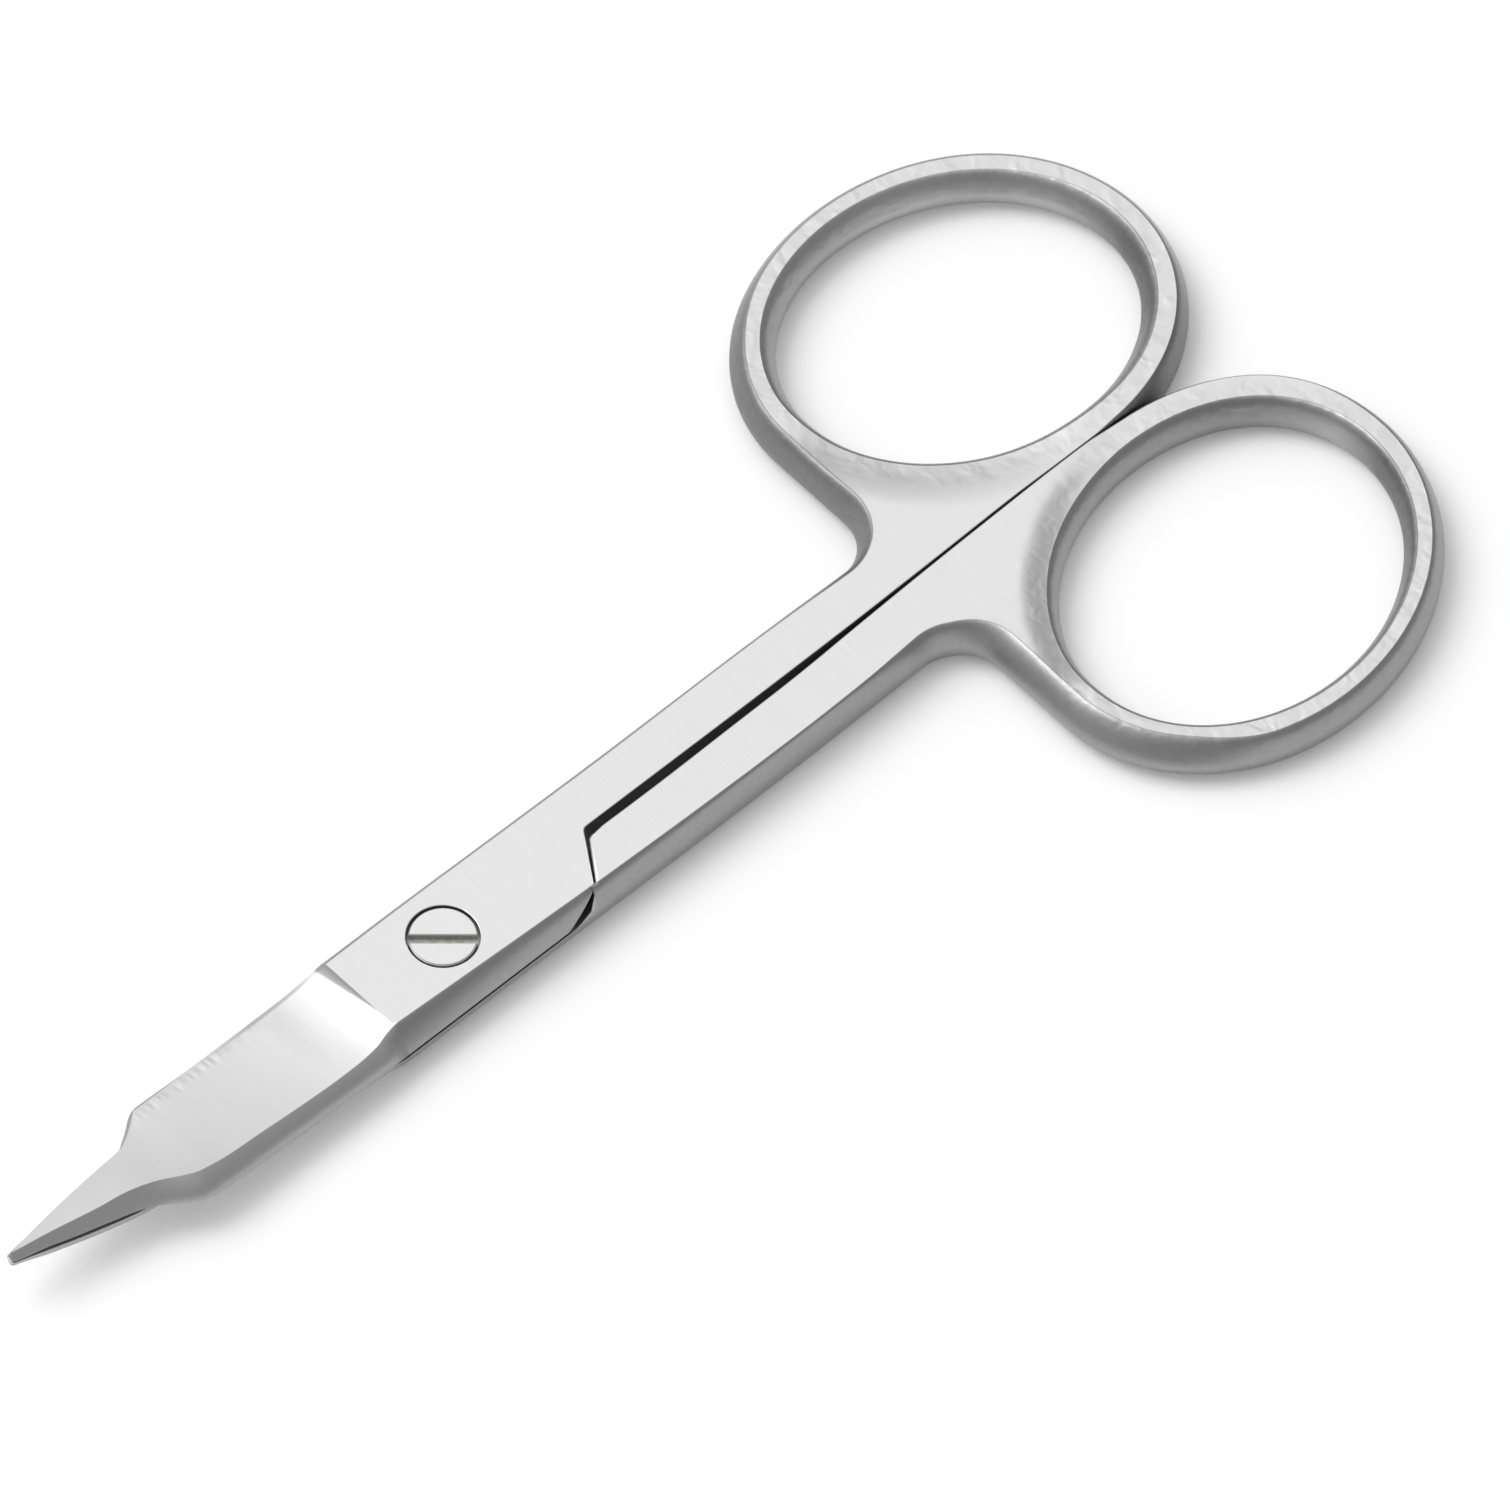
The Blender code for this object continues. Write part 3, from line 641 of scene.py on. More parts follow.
def join_walls(half):
    """Skins the walls, and sets the edges that the plate shares with the blade."""
    half.root_rows = [
        [*near, *shank, *far] for near, shank, far in zip(half.near_rows, half.own_rows, half.far_rows)
    ]
    half.strip(half.root_rows)
    half.other_loops = [[*row, *front] for row, front in zip(half.other_rows, half.front_rows)]
    for rows in (half.other_loops, half.hole_own, half.hole_other):
        half.strip(rows, closed=True)
    near_top, far_top = (half.points[half.root_rows[-1][i]] for i in (0, -1))
    shares = np.linspace(0, 1, TOP_STEPS + 1)[1:-1, None]
    half.top_edge = half.add(near_top + (far_top - near_top) * shares)
    near_low, far_low = (half.points[half.root_rows[0][i]] for i in (0, -1))
    shares = np.linspace(0, 1, MATING_STEPS + 1)[1:-1, None]
    half.low_edge = half.add(far_low + (near_low - far_low) * shares, SIDE_SKIN_AND_SHADE)


def add_screw_hole(half):
    """The hole that the screw's neck passes, and its head's seat in the upper half."""
    turns = np.linspace(0, math.tau, ROUND_STEPS, endpoint=False)
    circle = np.stack([np.cos(turns), np.sin(turns)], -1)

    def hoop(radius, z, wall=SIDE_SKIN_AND_SHADE):
        return half.level(circle * radius, z, wall)

    half.neck_low = hoop(NECK_RADIUS, half.mating)
    if half.layer > 0:
        rim, seat_z = SEAT_RADIUS + EDGE_BREAK, PIVOT_THICKNESS - SEAT_DEPTH
        half.rim = hoop(rim, thickness_at(circle[:, 0] * rim), 0)
        hoops = [
            hoop(SEAT_RADIUS, PIVOT_THICKNESS - EDGE_BREAK), hoop(SEAT_RADIUS, seat_z),
            hoop(NECK_RADIUS, seat_z),
        ]
    else:
        half.rim = hoop(NECK_RADIUS + EDGE_BREAK, 0.0, 0)
        hoops = [hoop(NECK_RADIUS, EDGE_BREAK)]
    half.strip([half.rim, *hoops, half.neck_low], closed=True)


def add_web_points(half, own):
    """Points around the finger hole, so that the fall of the web has a shape."""
    turns = np.linspace(*WEB_TURNS)
    flat = np.concatenate([
        oval(np.array(half.size.hole_half) + distance, turns, half.size.hole_centre)[0]
        for distance in np.arange(*WEB_DISTANCES)
    ])
    border = half.flat(half.other_loops[-1])
    flat = flat[inside(flat, border) & (flat[:, 1] > half.slot_at(flat[:, 0]) + CLEAR_OF_SLOT)]
    flat = flat[[np.min(np.hypot(*(border - p).T)) > CLEAR_OF_EDGE for p in flat]]
    return half.level(flat, half.height(flat[:, 0], 1.0, own))


def fill_faces(half):
    """The two flats and the mating face."""
    own_extra, other_extra = add_web_points(half, True), add_web_points(half, False)
    first, last = (half.points[i][1] for i in (half.root_rows[-1][0], half.top_edge[SOFT_STEPS]))
    soft_y = np.linspace(first - SOFT_INSET, last, SOFT_POINTS)
    soft = np.column_stack([np.full(SOFT_POINTS, CREASE - SOFT_BAND), soft_y])
    own_extra += half.level(soft, half.height(soft[:, 0], 1.0, True))
    half.fill([*half.root_rows[-1], *half.top_edge[::-1]], [half.hole_own[-1], half.rim], own_extra)
    half.fill(half.other_loops[-1], [half.hole_other[-1]], other_extra)
    mating_loop = [
        *half.near_rows[0], half.own_rows[0][0], *half.front_rows[0][::-1], half.own_rows[0][-1],
        *half.far_rows[0], *half.low_edge,
    ]
    half.fill(mating_loop, [half.neck_low])


print("screw hole, mm across:", 2 * NECK_RADIUS, "and seat:", 2 * SEAT_RADIUS)

# %% [markdown]
# ## Growing the blade
#
# The blade grows out of the plate's front section and changes, station by station,
# into the ground wedge. A separate blade joined by a Boolean would leave a seam, and a
# forging has none. Where the wheel went in, its slope cut a small facet into the plate's
# far corner, which is coloured darker: partly its rough grind and partly painted shade.
# A darker line along the ramp's near edge is painted shade too. The cutting edge was
# honed by hand, so its narrow bright band has an uneven width. A seeded random number
# gives that width.

# %% Sections of the blade
FACET_DEPTH, FACET_SLOPE, FACET_FROM_Y, FACET_POWER = 0.52, 1.2, 1.2, 1.3
HONED_WIDTH, HONED_RISE, HONED_STEP, HONED_SEED, HONED_UNEVEN, HONED_FADE = 0.55, 0.06, 0.12, 7, 0.4, 5
BLADE_BLEND, EDGE_BREAK_IN, SPINE_BREAK_IN, TIP_SMALL = 1.4, 0.04, 0.03, 0.45
# the blade's near wall: tumbled skin with painted shade; and a thin line of painted shade along the ramp's
# near edge
EDGE_SKIN_AND_SHADE, RAMP_EDGE_SHADE = 0.45, 0.48
# pairs along X between which the beak's small sizes, and others, come in or go out
SHIFT_IN, BEAK_IN, TRIM_IN, TRIM_OUT = (20, 31), (21, 23), (18.6, 20.4), (24.5, 22)
BACK_OUT, THICK_IN, THICK_OUT = (30.5, 28), (20, 22), (30.2, 28)
SHIFT_PAST, SPINE_TRIM_SHARE = 1.15, 0.4
HONED_IN, HONED_OUT, RAMP_EDGE_OUT = (8.5, 10.5), (NOTCH - 0.6, SHOULDER - 2), (15, 10)
SPINE_POWER = ((5.7, 15, 20, 22, 30.5), (2.6, 2.4, 1.9, 1.35, 1.2))


def ground_in(drop, x):
    """How much of a drop the ramp has reached at x: a slope that rounds off."""
    reach = FACET_SLOPE * (x - CREASE) / np.maximum(drop, 1e-6)
    return drop * reach / (1 + reach**4) ** 0.25, reach


def blade_sizes(size, x):
    """Reach of edge, spine and foot, and thickness at edge and spine, for one half."""
    shift = size.tip_shift * smooth(x, *SHIFT_IN) * SHIFT_PAST
    edge = edge_reach(x) + shift + size.edge_extra * smooth(x, *BEAK_IN)
    trim = size.foot_trim * smooth(x, *TRIM_IN) * smooth(x, *TRIM_OUT)
    trim += size.foot_back * smooth(x, *BEAK_IN) * smooth(x, *BACK_OUT)
    spine, foot = spine_reach(x) - shift - SPINE_TRIM_SHARE * trim, foot_reach(x) - shift - trim
    thicker = size.edge_thicker * smooth(x, *THICK_IN) * smooth(x, *THICK_OUT)
    edge_t, spine_t = ground_thickness(x, edge_reach(x)) + thicker, ground_thickness(x, -spine_reach(x))
    return edge, spine, foot, edge_t, spine_t


def blade_section(half, x, root_y, root_t, band):
    """Across and height of a section's points, and how much the facet is dulled and darkened as painted
    shade.
    """
    levels = np.append(OWN_SHARES[::-1], 1.0)
    count = len(levels)
    ground, aside = ground_off(x), smooth(x, CREASE, CREASE + BLADE_BLEND)
    edge, spine, foot, edge_t, spine_t = blade_sizes(half.size, x)
    full_t = root_t[count - 1]
    edge_level = full_t * (1 - ground) + edge_t * ground
    spread = FACET_DEPTH * (1 - ground)

    # near side: the forged wall, cut off by the ramp
    near_top = edge_level - ground_in(spread, x)[0]
    near_t = np.minimum(levels, 0.999) * near_top
    near_y = np.interp(near_t, root_t[: count - 1], root_y[: count - 1]) + (edge - root_y[0]) * aside
    near_y -= EDGE_BREAK_IN * levels**6 * ground
    near_t[-1], near_y[-1] = near_top, near_y[-1] - SUPPORT * (1 - ground)

    # far side: from the plate's rounded wall to the spine
    far_root_y = root_y[count + TOP_STEPS - 1 : 2 * count + TOP_STEPS - 1][::-1]
    power = through(x, *SPINE_POWER)
    far_y = far_root_y * (1 - aside) - (spine + (foot - spine) * (1 - levels**power)) * aside
    far_t = levels * (full_t * (1 - ground) + spine_t * ground)
    far_y[-1] += SPINE_BREAK_IN * aside

    # the top runs from edge to spine, over the facet and the honed band
    across = np.linspace(0, 1, TOP_STEPS + 1)[1:-1] ** 1.25
    top_y = near_y[-1] + (far_y[-1] - near_y[-1]) * across
    top_t = edge_level + (far_t[-1] - edge_level) * across
    fall = spread * np.clip((top_y + FACET_FROM_Y) / (PLATE_FAR + 0.6), 0, 1) ** FACET_POWER
    drop, reach = ground_in(fall, x)
    top_t -= drop
    width = near_y[-1] - top_y
    lift = HONED_RISE * smooth(x, *HONED_IN) * smooth(x, *HONED_OUT)
    top_t += lift * np.minimum(width / band, np.maximum(1 - (width - HONED_WIDTH) / HONED_FADE, 0))
    # the facet's darkening: partly its rough grind, partly painted shade
    facet_dull_and_shade = np.where(fall > 0.02, np.clip(1.15 - reach, 0, 1), 0)

    low = np.linspace(far_y[0], near_y[0], MATING_STEPS + 1)[1:-1]
    y, t = (np.concatenate(parts) for parts in (
        (near_y, top_y, far_y[::-1], low), (near_t, top_t, far_t[::-1], low * 0),
    ))
    return y, t, aside, facet_dull_and_shade


def grow_blade(half):
    """Adds the blade's sections, and keeps the rows for its crisp edges."""
    count = len(OWN_SHARES) + 1
    root = [
        *(row[0] for row in half.root_rows), *half.top_edge,
        *(row[-1] for row in half.root_rows[::-1]), *half.low_edge,
    ]
    root_y = np.array([half.points[i][1] for i in root])
    root_t = np.array([abs(half.points[i][2] - half.mating) for i in root])
    root_wall = np.array([half.wall[i] for i in root])
    blade_wall = np.concatenate([
        np.full(count - 1, EDGE_SKIN_AND_SHADE), [0], np.zeros(TOP_STEPS - 1), [0],
        np.full(count + MATING_STEPS - 2, SIDE_SKIN_AND_SHADE),
    ])
    dice = np.random.default_rng(HONED_SEED)
    knots = np.arange(CREASE, TIP + 1, HONED_STEP)
    honed = HONED_WIDTH * (1 + HONED_UNEVEN * dice.standard_normal(len(knots)).clip(-1.3, 1.3))
    half.blade_rows = [root]
    for x in STATIONS:
        y, t, aside, facet_dull_and_shade = blade_section(half, x, root_y, root_t, np.interp(x, knots, honed))
        # each point's finish mixes the forging's and the blade's values, whose wall share carries painted
        # shade
        finish = root_wall * (1 - aside) + blade_wall * aside
        facet, brink = slice(count, count + len(facet_dull_and_shade)), slice(count - 1, count + 1)
        finish[facet] = np.maximum(finish[facet], SIDE_SKIN_AND_SHADE * facet_dull_and_shade)
        # a painted shade line along the ramp's near edge
        finish[brink] = np.maximum(finish[brink], RAMP_EDGE_SHADE * smooth(x, *RAMP_EDGE_OUT))
        if x > TIP - TIP_ROUND:
            finish = np.maximum(finish, SIDE_SKIN_AND_SHADE)
            round_off = math.sqrt(max(1 - ((x - TIP + TIP_ROUND) / TIP_ROUND) ** 2, 0))
            small = TIP_SMALL + (1 - TIP_SMALL) * round_off
            y = y.mean() + (y - y.mean()) * small
            t = t.max() / 2 + (t - t.max() / 2) * small
        z = half.mating + rise_at(np.hypot(x, y)) + half.layer * t
        half.blade_rows.append(half.add(np.stack([np.full(len(y), x), y, z], -1), finish))
    half.strip(half.blade_rows, closed=True)
    half.faces.append(tuple(half.blade_rows[-1]))


print("honed band:", HONED_WIDTH, "mm wide")

# %% [markdown]
# ## Last touches on a half
#
# The rings and the edge of the web were linished a little lower than the shanks, so
# the points there are lowered. Three numbers are kept for each point, and the steel
# reads them later: how much dull skin and painted shade it has, how much of the uneven
# finish of the ring's strip, and whether the wheel ground it. Painting masks by hand
# would work too, but numbers worked out from the shape follow it when a size changes.

# %% Build a half
RING_FALL, WEB_DIP = 0.1, 0.25
HANDLE_BEGINS, OFF_WEB, OFF_WEB_Y, STRIP_WIDTH = (-27, -33), (-42, -49), (8.5, 12), (2.6, 1.4)


def finish_half(half):
    """Marks the crisp edges, lowers the ring, and gives the three finish numbers, the first with painted
    shade in it.
    """
    count, rows = len(OWN_SHARES) + 1, half.blade_rows[1:]
    lines = (0, count - 1, count + TOP_STEPS - 1, 2 * count + TOP_STEPS - 2)
    half.crisp = [
        half.root_rows[-2], half.other_loops[-2], half.hole_own[-2], half.hole_other[-2],
        half.rim, half.front_rows[0], [*half.top_edge[SOFT_STEPS:], half.root_rows[-1][-1]],
        *([row[i] for row in rows] for i in lines),
    ]
    points = np.array(half.points)
    x, y, z = points.T
    distance = hole_distance(points, half.size.hole_half, half.size.hole_centre)
    handle = smooth(x, *HANDLE_BEGINS)
    off_web = np.maximum(smooth(x, *OFF_WEB), smooth(y, *OFF_WEB_Y))
    dip = smooth(distance, *half.size.web_fall)
    share = np.clip(z / thickness_at(x), 0, 1)
    fall = RING_FALL * np.maximum(dip, off_web) + WEB_DIP * dip * (1 - off_web)
    points[:, 2] -= fall * handle * share**2
    strip = smooth(distance, *STRIP_WIDTH) * handle
    wheel = (x > CREASE + 0.01) * 1.0
    wheel[[row[lines[2]] for row in rows]] = 0
    # the wall number holds the tumbled skin and painted shade
    return points, {"wall": half.wall, "strip": strip, "wheel": wheel}


def build_half(size):
    """A whole half: its points, its finish numbers with their painted shade, and the faces between the
    points.
    """
    half = Half(size)
    add_shared_walls(half)
    add_plate_walls(half)
    add_front_wall(half)
    join_walls(half)
    add_screw_hole(half)
    fill_faces(half)
    grow_blade(half)
    points, finish_and_shade_numbers = finish_half(half)
    return points, finish_and_shade_numbers, half


# %% Turn a half into an object
def add_object(name, data):
    """Puts a mesh, a light or a camera into the scene."""
    made = bpy.data.objects.new(name, data)
    bpy.context.scene.collection.objects.link(made)
    return made


def make_piece(name, points, made, side):
    """A closed mesh in metres. side -1 mirrors it in Y."""
    mesh = bpy.data.meshes.new(name)
    placed = points * MM
    placed[:, 1] *= side
    mesh.from_pydata([tuple(p) for p in placed], [], made.faces)
    shape = bmesh.new()
    shape.from_mesh(mesh)
    bmesh.ops.recalc_face_normals(shape, faces=shape.faces)
    open_edges = sum(1 for edge in shape.edges if not edge.is_manifold)
    shape.to_mesh(mesh)
    shape.free()
    mesh.shade_smooth()
    mesh.set_sharp_from_angle(angle=math.radians(32))
    crisp = {frozenset(pair) for line in made.crisp for pair in zip(line, [*line[1:], line[0]])}
    for edge in mesh.edges:
        if frozenset(edge.vertices) in crisp:
            edge.use_edge_sharp = True
    print(name, len(mesh.vertices), "points,", len(mesh.polygons), "faces,", open_edges, "open edges")
    return add_object(name, mesh)


halves = {}
for name, size in (("upper_half", UPPER), ("lower_half", LOWER)):
    points, finish_and_shade_numbers, made = build_half(size)
    piece = make_piece(name + "_forging", points, made, -size.layer)
    for label, values in finish_and_shade_numbers.items():
        attribute = piece.data.attributes.new(label, "FLOAT", "POINT")
        attribute.data.foreach_set("value", np.asarray(values, np.float32))
    halves[name] = piece

# %% [markdown]
# ## A node helper
#
# Blender's node trees, for geometry and for materials alike, can be clicked together or
# written as text. Text is shorter to read here, and it can be changed with the sizes.
# One small function adds a node, sets its options and feeds its inputs, either with a
# number or with another node's output.

# %% Add a node
def feed(tree, node, inputs):
    """Sets or links inputs. A node among them stands for its first output."""
    for key, value in inputs.items():
        if isinstance(value, bpy.types.Node):
            value = value.outputs[0]
        if isinstance(value, bpy.types.NodeSocket):
            tree.links.new(value, node.inputs[key])
        else:
            node.inputs[key].default_value = value


def add_node(tree, kind, inputs=None, **settings):
    """Adds a node, sets its options, and feeds its inputs."""
    made = tree.nodes.new(kind)
    for key, value in settings.items():
        setattr(made, key, value)
    feed(tree, made, inputs or {})
    return made


def linear(colour):
    """An sRGB hex colour as linear values, the way nodes want it."""
    parts = [int(colour[i : i + 2], 16) / 255 for i in (1, 3, 5)]
    return (*[p / 12.92 if p <= 0.04045 else ((p + 0.055) / 1.055) ** 2.4 for p in parts], 1.0)


print("mid grey in linear values:", round(linear("#808080")[0], 3))

# %% [markdown]
# ## Stainless steel, ground and tumbled, with painted shade
#
# The flats of such scissors are ground and then brushed across with a fine belt, which
# leaves a bright satin with hair-thin lines. The rounded sides keep the duller skin
# that tumbling in stones gives a forging, and their darker colour is partly that skin
# and partly painted shade, for the dim surroundings that the sides mirror. Two materials
# with a hard border would look pasted on. It is one steel, so it is one material, and
# the three numbers stored on the mesh blend it: wall for the tumbled skin and its
# painted shade, strip for the hand-linished ring, whose tone changes from spot to spot,
# and wheel for the blade, which is a little duller.

# %% Satin steel
# the belt's real lines are finer than the render can show, so these are wider
BRUSH_SPACING, BRUSH_LENGTH, BRUSH_DEPTH = 0.12, 3.0, 0.0017
BRUSH_TURN = math.radians(-4)
CRINKLE_SIZE, CRINKLE_DEPTH = 0.35, 0.015
SPOT_SIZE, SPOT_DEPTH = 1.2, 0.06
FLAT_ROUGHNESS, WALL_ROUGHNESS, WHEEL_ROUGHER = 0.3, 0.45, 0.16
STRIP_SHADE, WHEEL_SHADE = 0.93, 0.94
# the tumbled colour is partly the skin's own tone and partly painted shade, for the dim surroundings that
# the sides mirror
BRUSHED, TUMBLED_AND_SHADED = ("#DCDCDC", "#EBEBEB"), ("#6E6E6E", "#8A8A8A")
COLOUR_A, COLOUR_B, COLOUR_OUT = 6, 7, 2


def brush_lines(tree, place):
    """Fine lines that run across a flat: noise that is drawn out along the strokes."""
    lines = add_node(tree, "ShaderNodeMapping", {
        "Vector": place, "Rotation": (0, 0, BRUSH_TURN),
        "Scale": (1 / (BRUSH_SPACING * MM), 1 / (BRUSH_LENGTH * MM), 1 / (BRUSH_LENGTH * MM)),
    })
    return add_node(tree, "ShaderNodeTexNoise", {
        "Vector": lines, "Scale": 1.0, "Detail": 4.0, "Roughness": 0.65,
    })


satin = bpy.data.materials.new("stainless_ground_tumbled_and_shaded")
satin.use_nodes = True
tree = satin.node_tree
place = add_node(tree, "ShaderNodeTexCoord").outputs["Object"]
wall, strip, wheel = (
    add_node(tree, "ShaderNodeAttribute", attribute_name=name).outputs["Fac"]
    for name in ("wall", "strip", "wheel")
)
brush = brush_lines(tree, place)
crinkle = add_node(tree, "ShaderNodeTexNoise", {
    "Vector": place, "Scale": 1 / (CRINKLE_SIZE * MM), "Detail": 4.0, "Roughness": 0.6,
})
flat_colour, skin_and_shade_colour = (
    add_node(tree, "ShaderNodeMix", {
        "Factor": pattern, COLOUR_A: linear(dark), COLOUR_B: linear(light),
    }, data_type="RGBA").outputs[COLOUR_OUT]
    for pattern, (dark, light) in ((brush, BRUSHED), (crinkle, TUMBLED_AND_SHADED))
)
strip_shade, wheel_shade, skin_roughness = (
    add_node(tree, "ShaderNodeMapRange", {"Value": share, "To Min": none, "To Max": full})
    for share, none, full in (
        (strip, 1.0, STRIP_SHADE), (wheel, 1.0, WHEEL_SHADE), (wall, FLAT_ROUGHNESS, WALL_ROUGHNESS),
    )
)
shade = add_node(tree, "ShaderNodeMath", {0: strip_shade, 1: wheel_shade}, operation="MULTIPLY")
ground_colour = add_node(tree, "ShaderNodeVectorMath", {
    0: flat_colour, "Scale": shade,
}, operation="SCALE")
# the wall number pulls the colour towards the darker tumbled colour: the skin itself, and painted shade on
# the sides and hole walls
colour = add_node(tree, "ShaderNodeMix", {
    "Factor": wall, COLOUR_A: ground_colour, COLOUR_B: skin_and_shade_colour,
}, data_type="RGBA").outputs[COLOUR_OUT]
roughness = add_node(tree, "ShaderNodeMath", {
    0: wheel, 1: WHEEL_ROUGHER, 2: skin_roughness,
}, operation="MULTIPLY_ADD")

# three reliefs lie on each other: belt lines, tumbled skin and linished spots
tumbled = add_node(tree, "ShaderNodeMath", {0: crinkle, 1: wall}, operation="MULTIPLY")
spots = add_node(tree, "ShaderNodeTexNoise", {
    "Vector": place, "Scale": 1 / (SPOT_SIZE * MM), "Detail": 1.5, "Distortion": 0.6,
})
uneven = add_node(tree, "ShaderNodeMath", {0: spots, 1: 0.5}, operation="SUBTRACT")
linished = add_node(tree, "ShaderNodeMath", {0: uneven, 1: strip}, operation="MULTIPLY")
relief = add_node(tree, "ShaderNodeBump", {"Height": brush, "Distance": BRUSH_DEPTH * MM})
for pattern, depth in ((tumbled, CRINKLE_DEPTH), (linished, SPOT_DEPTH)):
    relief = add_node(tree, "ShaderNodeBump", {
        "Height": pattern, "Distance": depth * MM, "Normal": relief,
    })
feed(tree, tree.nodes["Principled BSDF"], {
    "Base Color": colour, "Metallic": 1.0, "Roughness": roughness, "Normal": relief,
})
for piece in halves.values():
    piece.data.materials.append(satin)
print("brush lines every", BRUSH_SPACING, "mm, skin grains", CRINKLE_SIZE, "mm")

# %% [markdown]
# ## The slotted screw
#
# The screw is turned from bar: a thin neck, a flat head with a broken edge, and a slot
# that a saw cut a little off its middle. It was ground flush after it was riveted over
# below. Edit mode could spin a profile for it, but a turned part is a few plain solids
# by rule, so a Geometry Nodes tree makes it. Its sizes stay named inputs of the tree.

# %% Screw tree
TURNED_SIDES = 96
screw_sizes = {
    "Head Radius": 1.84 * MM, "Head Depth": 0.7 * MM, "Head Chamfer": 0.08 * MM,
    "Neck Radius": 1.1 * MM, "Length": PIVOT_THICKNESS * MM, "Slot Width": 0.5 * MM,
    "Slot Depth": 0.4 * MM, "Slot Offset": 0.15 * MM, "Slot Turn": math.radians(137.4),
    "Slot Edge Break": 0.05 * MM,
}
screw_steel = bpy.data.materials.new("stainless_face_turned")
tree = bpy.data.node_groups.new("slotted_screw", "GeometryNodeTree")
for way in ("INPUT", "OUTPUT"):
    tree.interface.new_socket("Geometry", in_out=way, socket_type="NodeSocketGeometry")
sockets = {}
for label, value in screw_sizes.items():
    sockets[label] = tree.interface.new_socket(label, in_out="INPUT", socket_type="NodeSocketFloat")
    sockets[label].default_value = value
inputs = add_node(tree, "NodeGroupInput").outputs
known = {label: inputs[label] for label in screw_sizes}
known["Underside"] = 0.0
for label, operation, one, two in (
    ("Seat", "SUBTRACT", "Length", "Head Depth"),
    ("Chamfer Low", "SUBTRACT", "Length", "Head Chamfer"),
    ("Face Radius", "SUBTRACT", "Head Radius", "Head Chamfer"),
    ("Rim Height", "SUBTRACT", "Chamfer Low", "Seat"),
    ("Chamfer Height", "SUBTRACT", "Length", "Chamfer Low"),
    ("Cutter Length", "MULTIPLY", "Head Radius", 3.0),
    ("Cutter Depth", "MULTIPLY", "Slot Depth", 2.0),
    ("Both Breaks", "MULTIPLY", "Slot Edge Break", 2.0),
    ("Broken Width", "ADD", "Slot Width", "Both Breaks"),
    ("Wedge Side", "DIVIDE", "Broken Width", math.sqrt(2)),
    ("Slot Across", "MULTIPLY", "Slot Offset", -1.0),
):
    operands = {0: known[one], 1: known.get(two, two)}
    known[label] = add_node(tree, "ShaderNodeMath", operands, operation=operation)

solid = add_node(tree, "GeometryNodeMeshBoolean", operation="UNION", solver="EXACT")
for low, depth, bottom, top in (
    ("Underside", "Seat", "Neck Radius", "Neck Radius"),
    ("Seat", "Rim Height", "Head Radius", "Head Radius"),
    ("Chamfer Low", "Chamfer Height", "Head Radius", "Face Radius"),
):
    cone = add_node(tree, "GeometryNodeMeshCone", {
        "Vertices": TURNED_SIDES, "Depth": known[depth],
        "Radius Top": known[top], "Radius Bottom": known[bottom],
    })
    lift = add_node(tree, "ShaderNodeCombineXYZ", {"Z": known[low]})
    raised = add_node(tree, "GeometryNodeTransform", {"Geometry": cone, "Translation": lift})
    feed(tree, solid, {"Mesh 2": raised})
print("known sizes in the tree:", len(known))

# %% [markdown]
# ### The sawn slot
#
# A slitting saw cut the slot and a file broke its edges. The two cutters below do the
# same: a box as wide as the saw, and a square bar on its edge for the broken edges.
# Then the tree is run once on an empty carrier, and what it made is kept as a mesh.

# %% Saw the slot
off_middle = add_node(tree, "ShaderNodeCombineXYZ", {
    "Y": known["Slot Across"], "Z": known["Length"],
})
turn = add_node(tree, "ShaderNodeCombineXYZ", {"Z": known["Slot Turn"]})
slotted = solid
for width, depth, roll in (("Slot Width", "Cutter Depth", 0), ("Wedge Side", "Wedge Side", 45)):
    block = add_node(tree, "ShaderNodeCombineXYZ", {
        "X": known["Cutter Length"], "Y": known[width], "Z": known[depth],
    })
    cutter = add_node(tree, "GeometryNodeMeshCube", {"Size": block})
    on_edge = (math.radians(roll), 0, 0)
    for way, by in (("Rotation", on_edge), ("Translation", off_middle), ("Rotation", turn)):
        cutter = add_node(tree, "GeometryNodeTransform", {"Geometry": cutter, way: by})
    slotted = add_node(tree, "GeometryNodeMeshBoolean", {
        "Mesh 1": slotted, "Mesh 2": cutter,
    }, operation="DIFFERENCE", solver="EXACT")
real = add_node(tree, "GeometryNodeRealizeInstances", {"Geometry": slotted})
clothed = add_node(tree, "GeometryNodeSetMaterial", {"Geometry": real, "Material": screw_steel})
add_node(tree, "NodeGroupOutput", {"Geometry": clothed})

carrier = add_object("screw_carrier", bpy.data.meshes.new("screw_carrier"))
modifier = carrier.modifiers.new("shape", "NODES")
modifier.node_group = tree
for label, value in screw_sizes.items():
    modifier[sockets[label].identifier] = value
seen = carrier.evaluated_get(bpy.context.evaluated_depsgraph_get())
mesh = bpy.data.meshes.new_from_object(seen)
carrier.modifiers.remove(modifier)
bpy.data.objects.remove(carrier)
mesh.name = "pivot_screw_turned"
mesh.shade_smooth()
mesh.set_sharp_from_angle(angle=math.radians(30))
screw = add_object(mesh.name, mesh)
print(screw.name, len(mesh.vertices), "points,", len(mesh.polygons), "faces")

# %% [markdown]
# ## The screw's steel
#
# The head was ground together with the flats, so it has the same belt lines, and it is
# bright. Below its face, in the slot, an uneven brownish grey oxide stays. A second
# mesh for the slot isn't needed: the height of a point says which of the two it has.

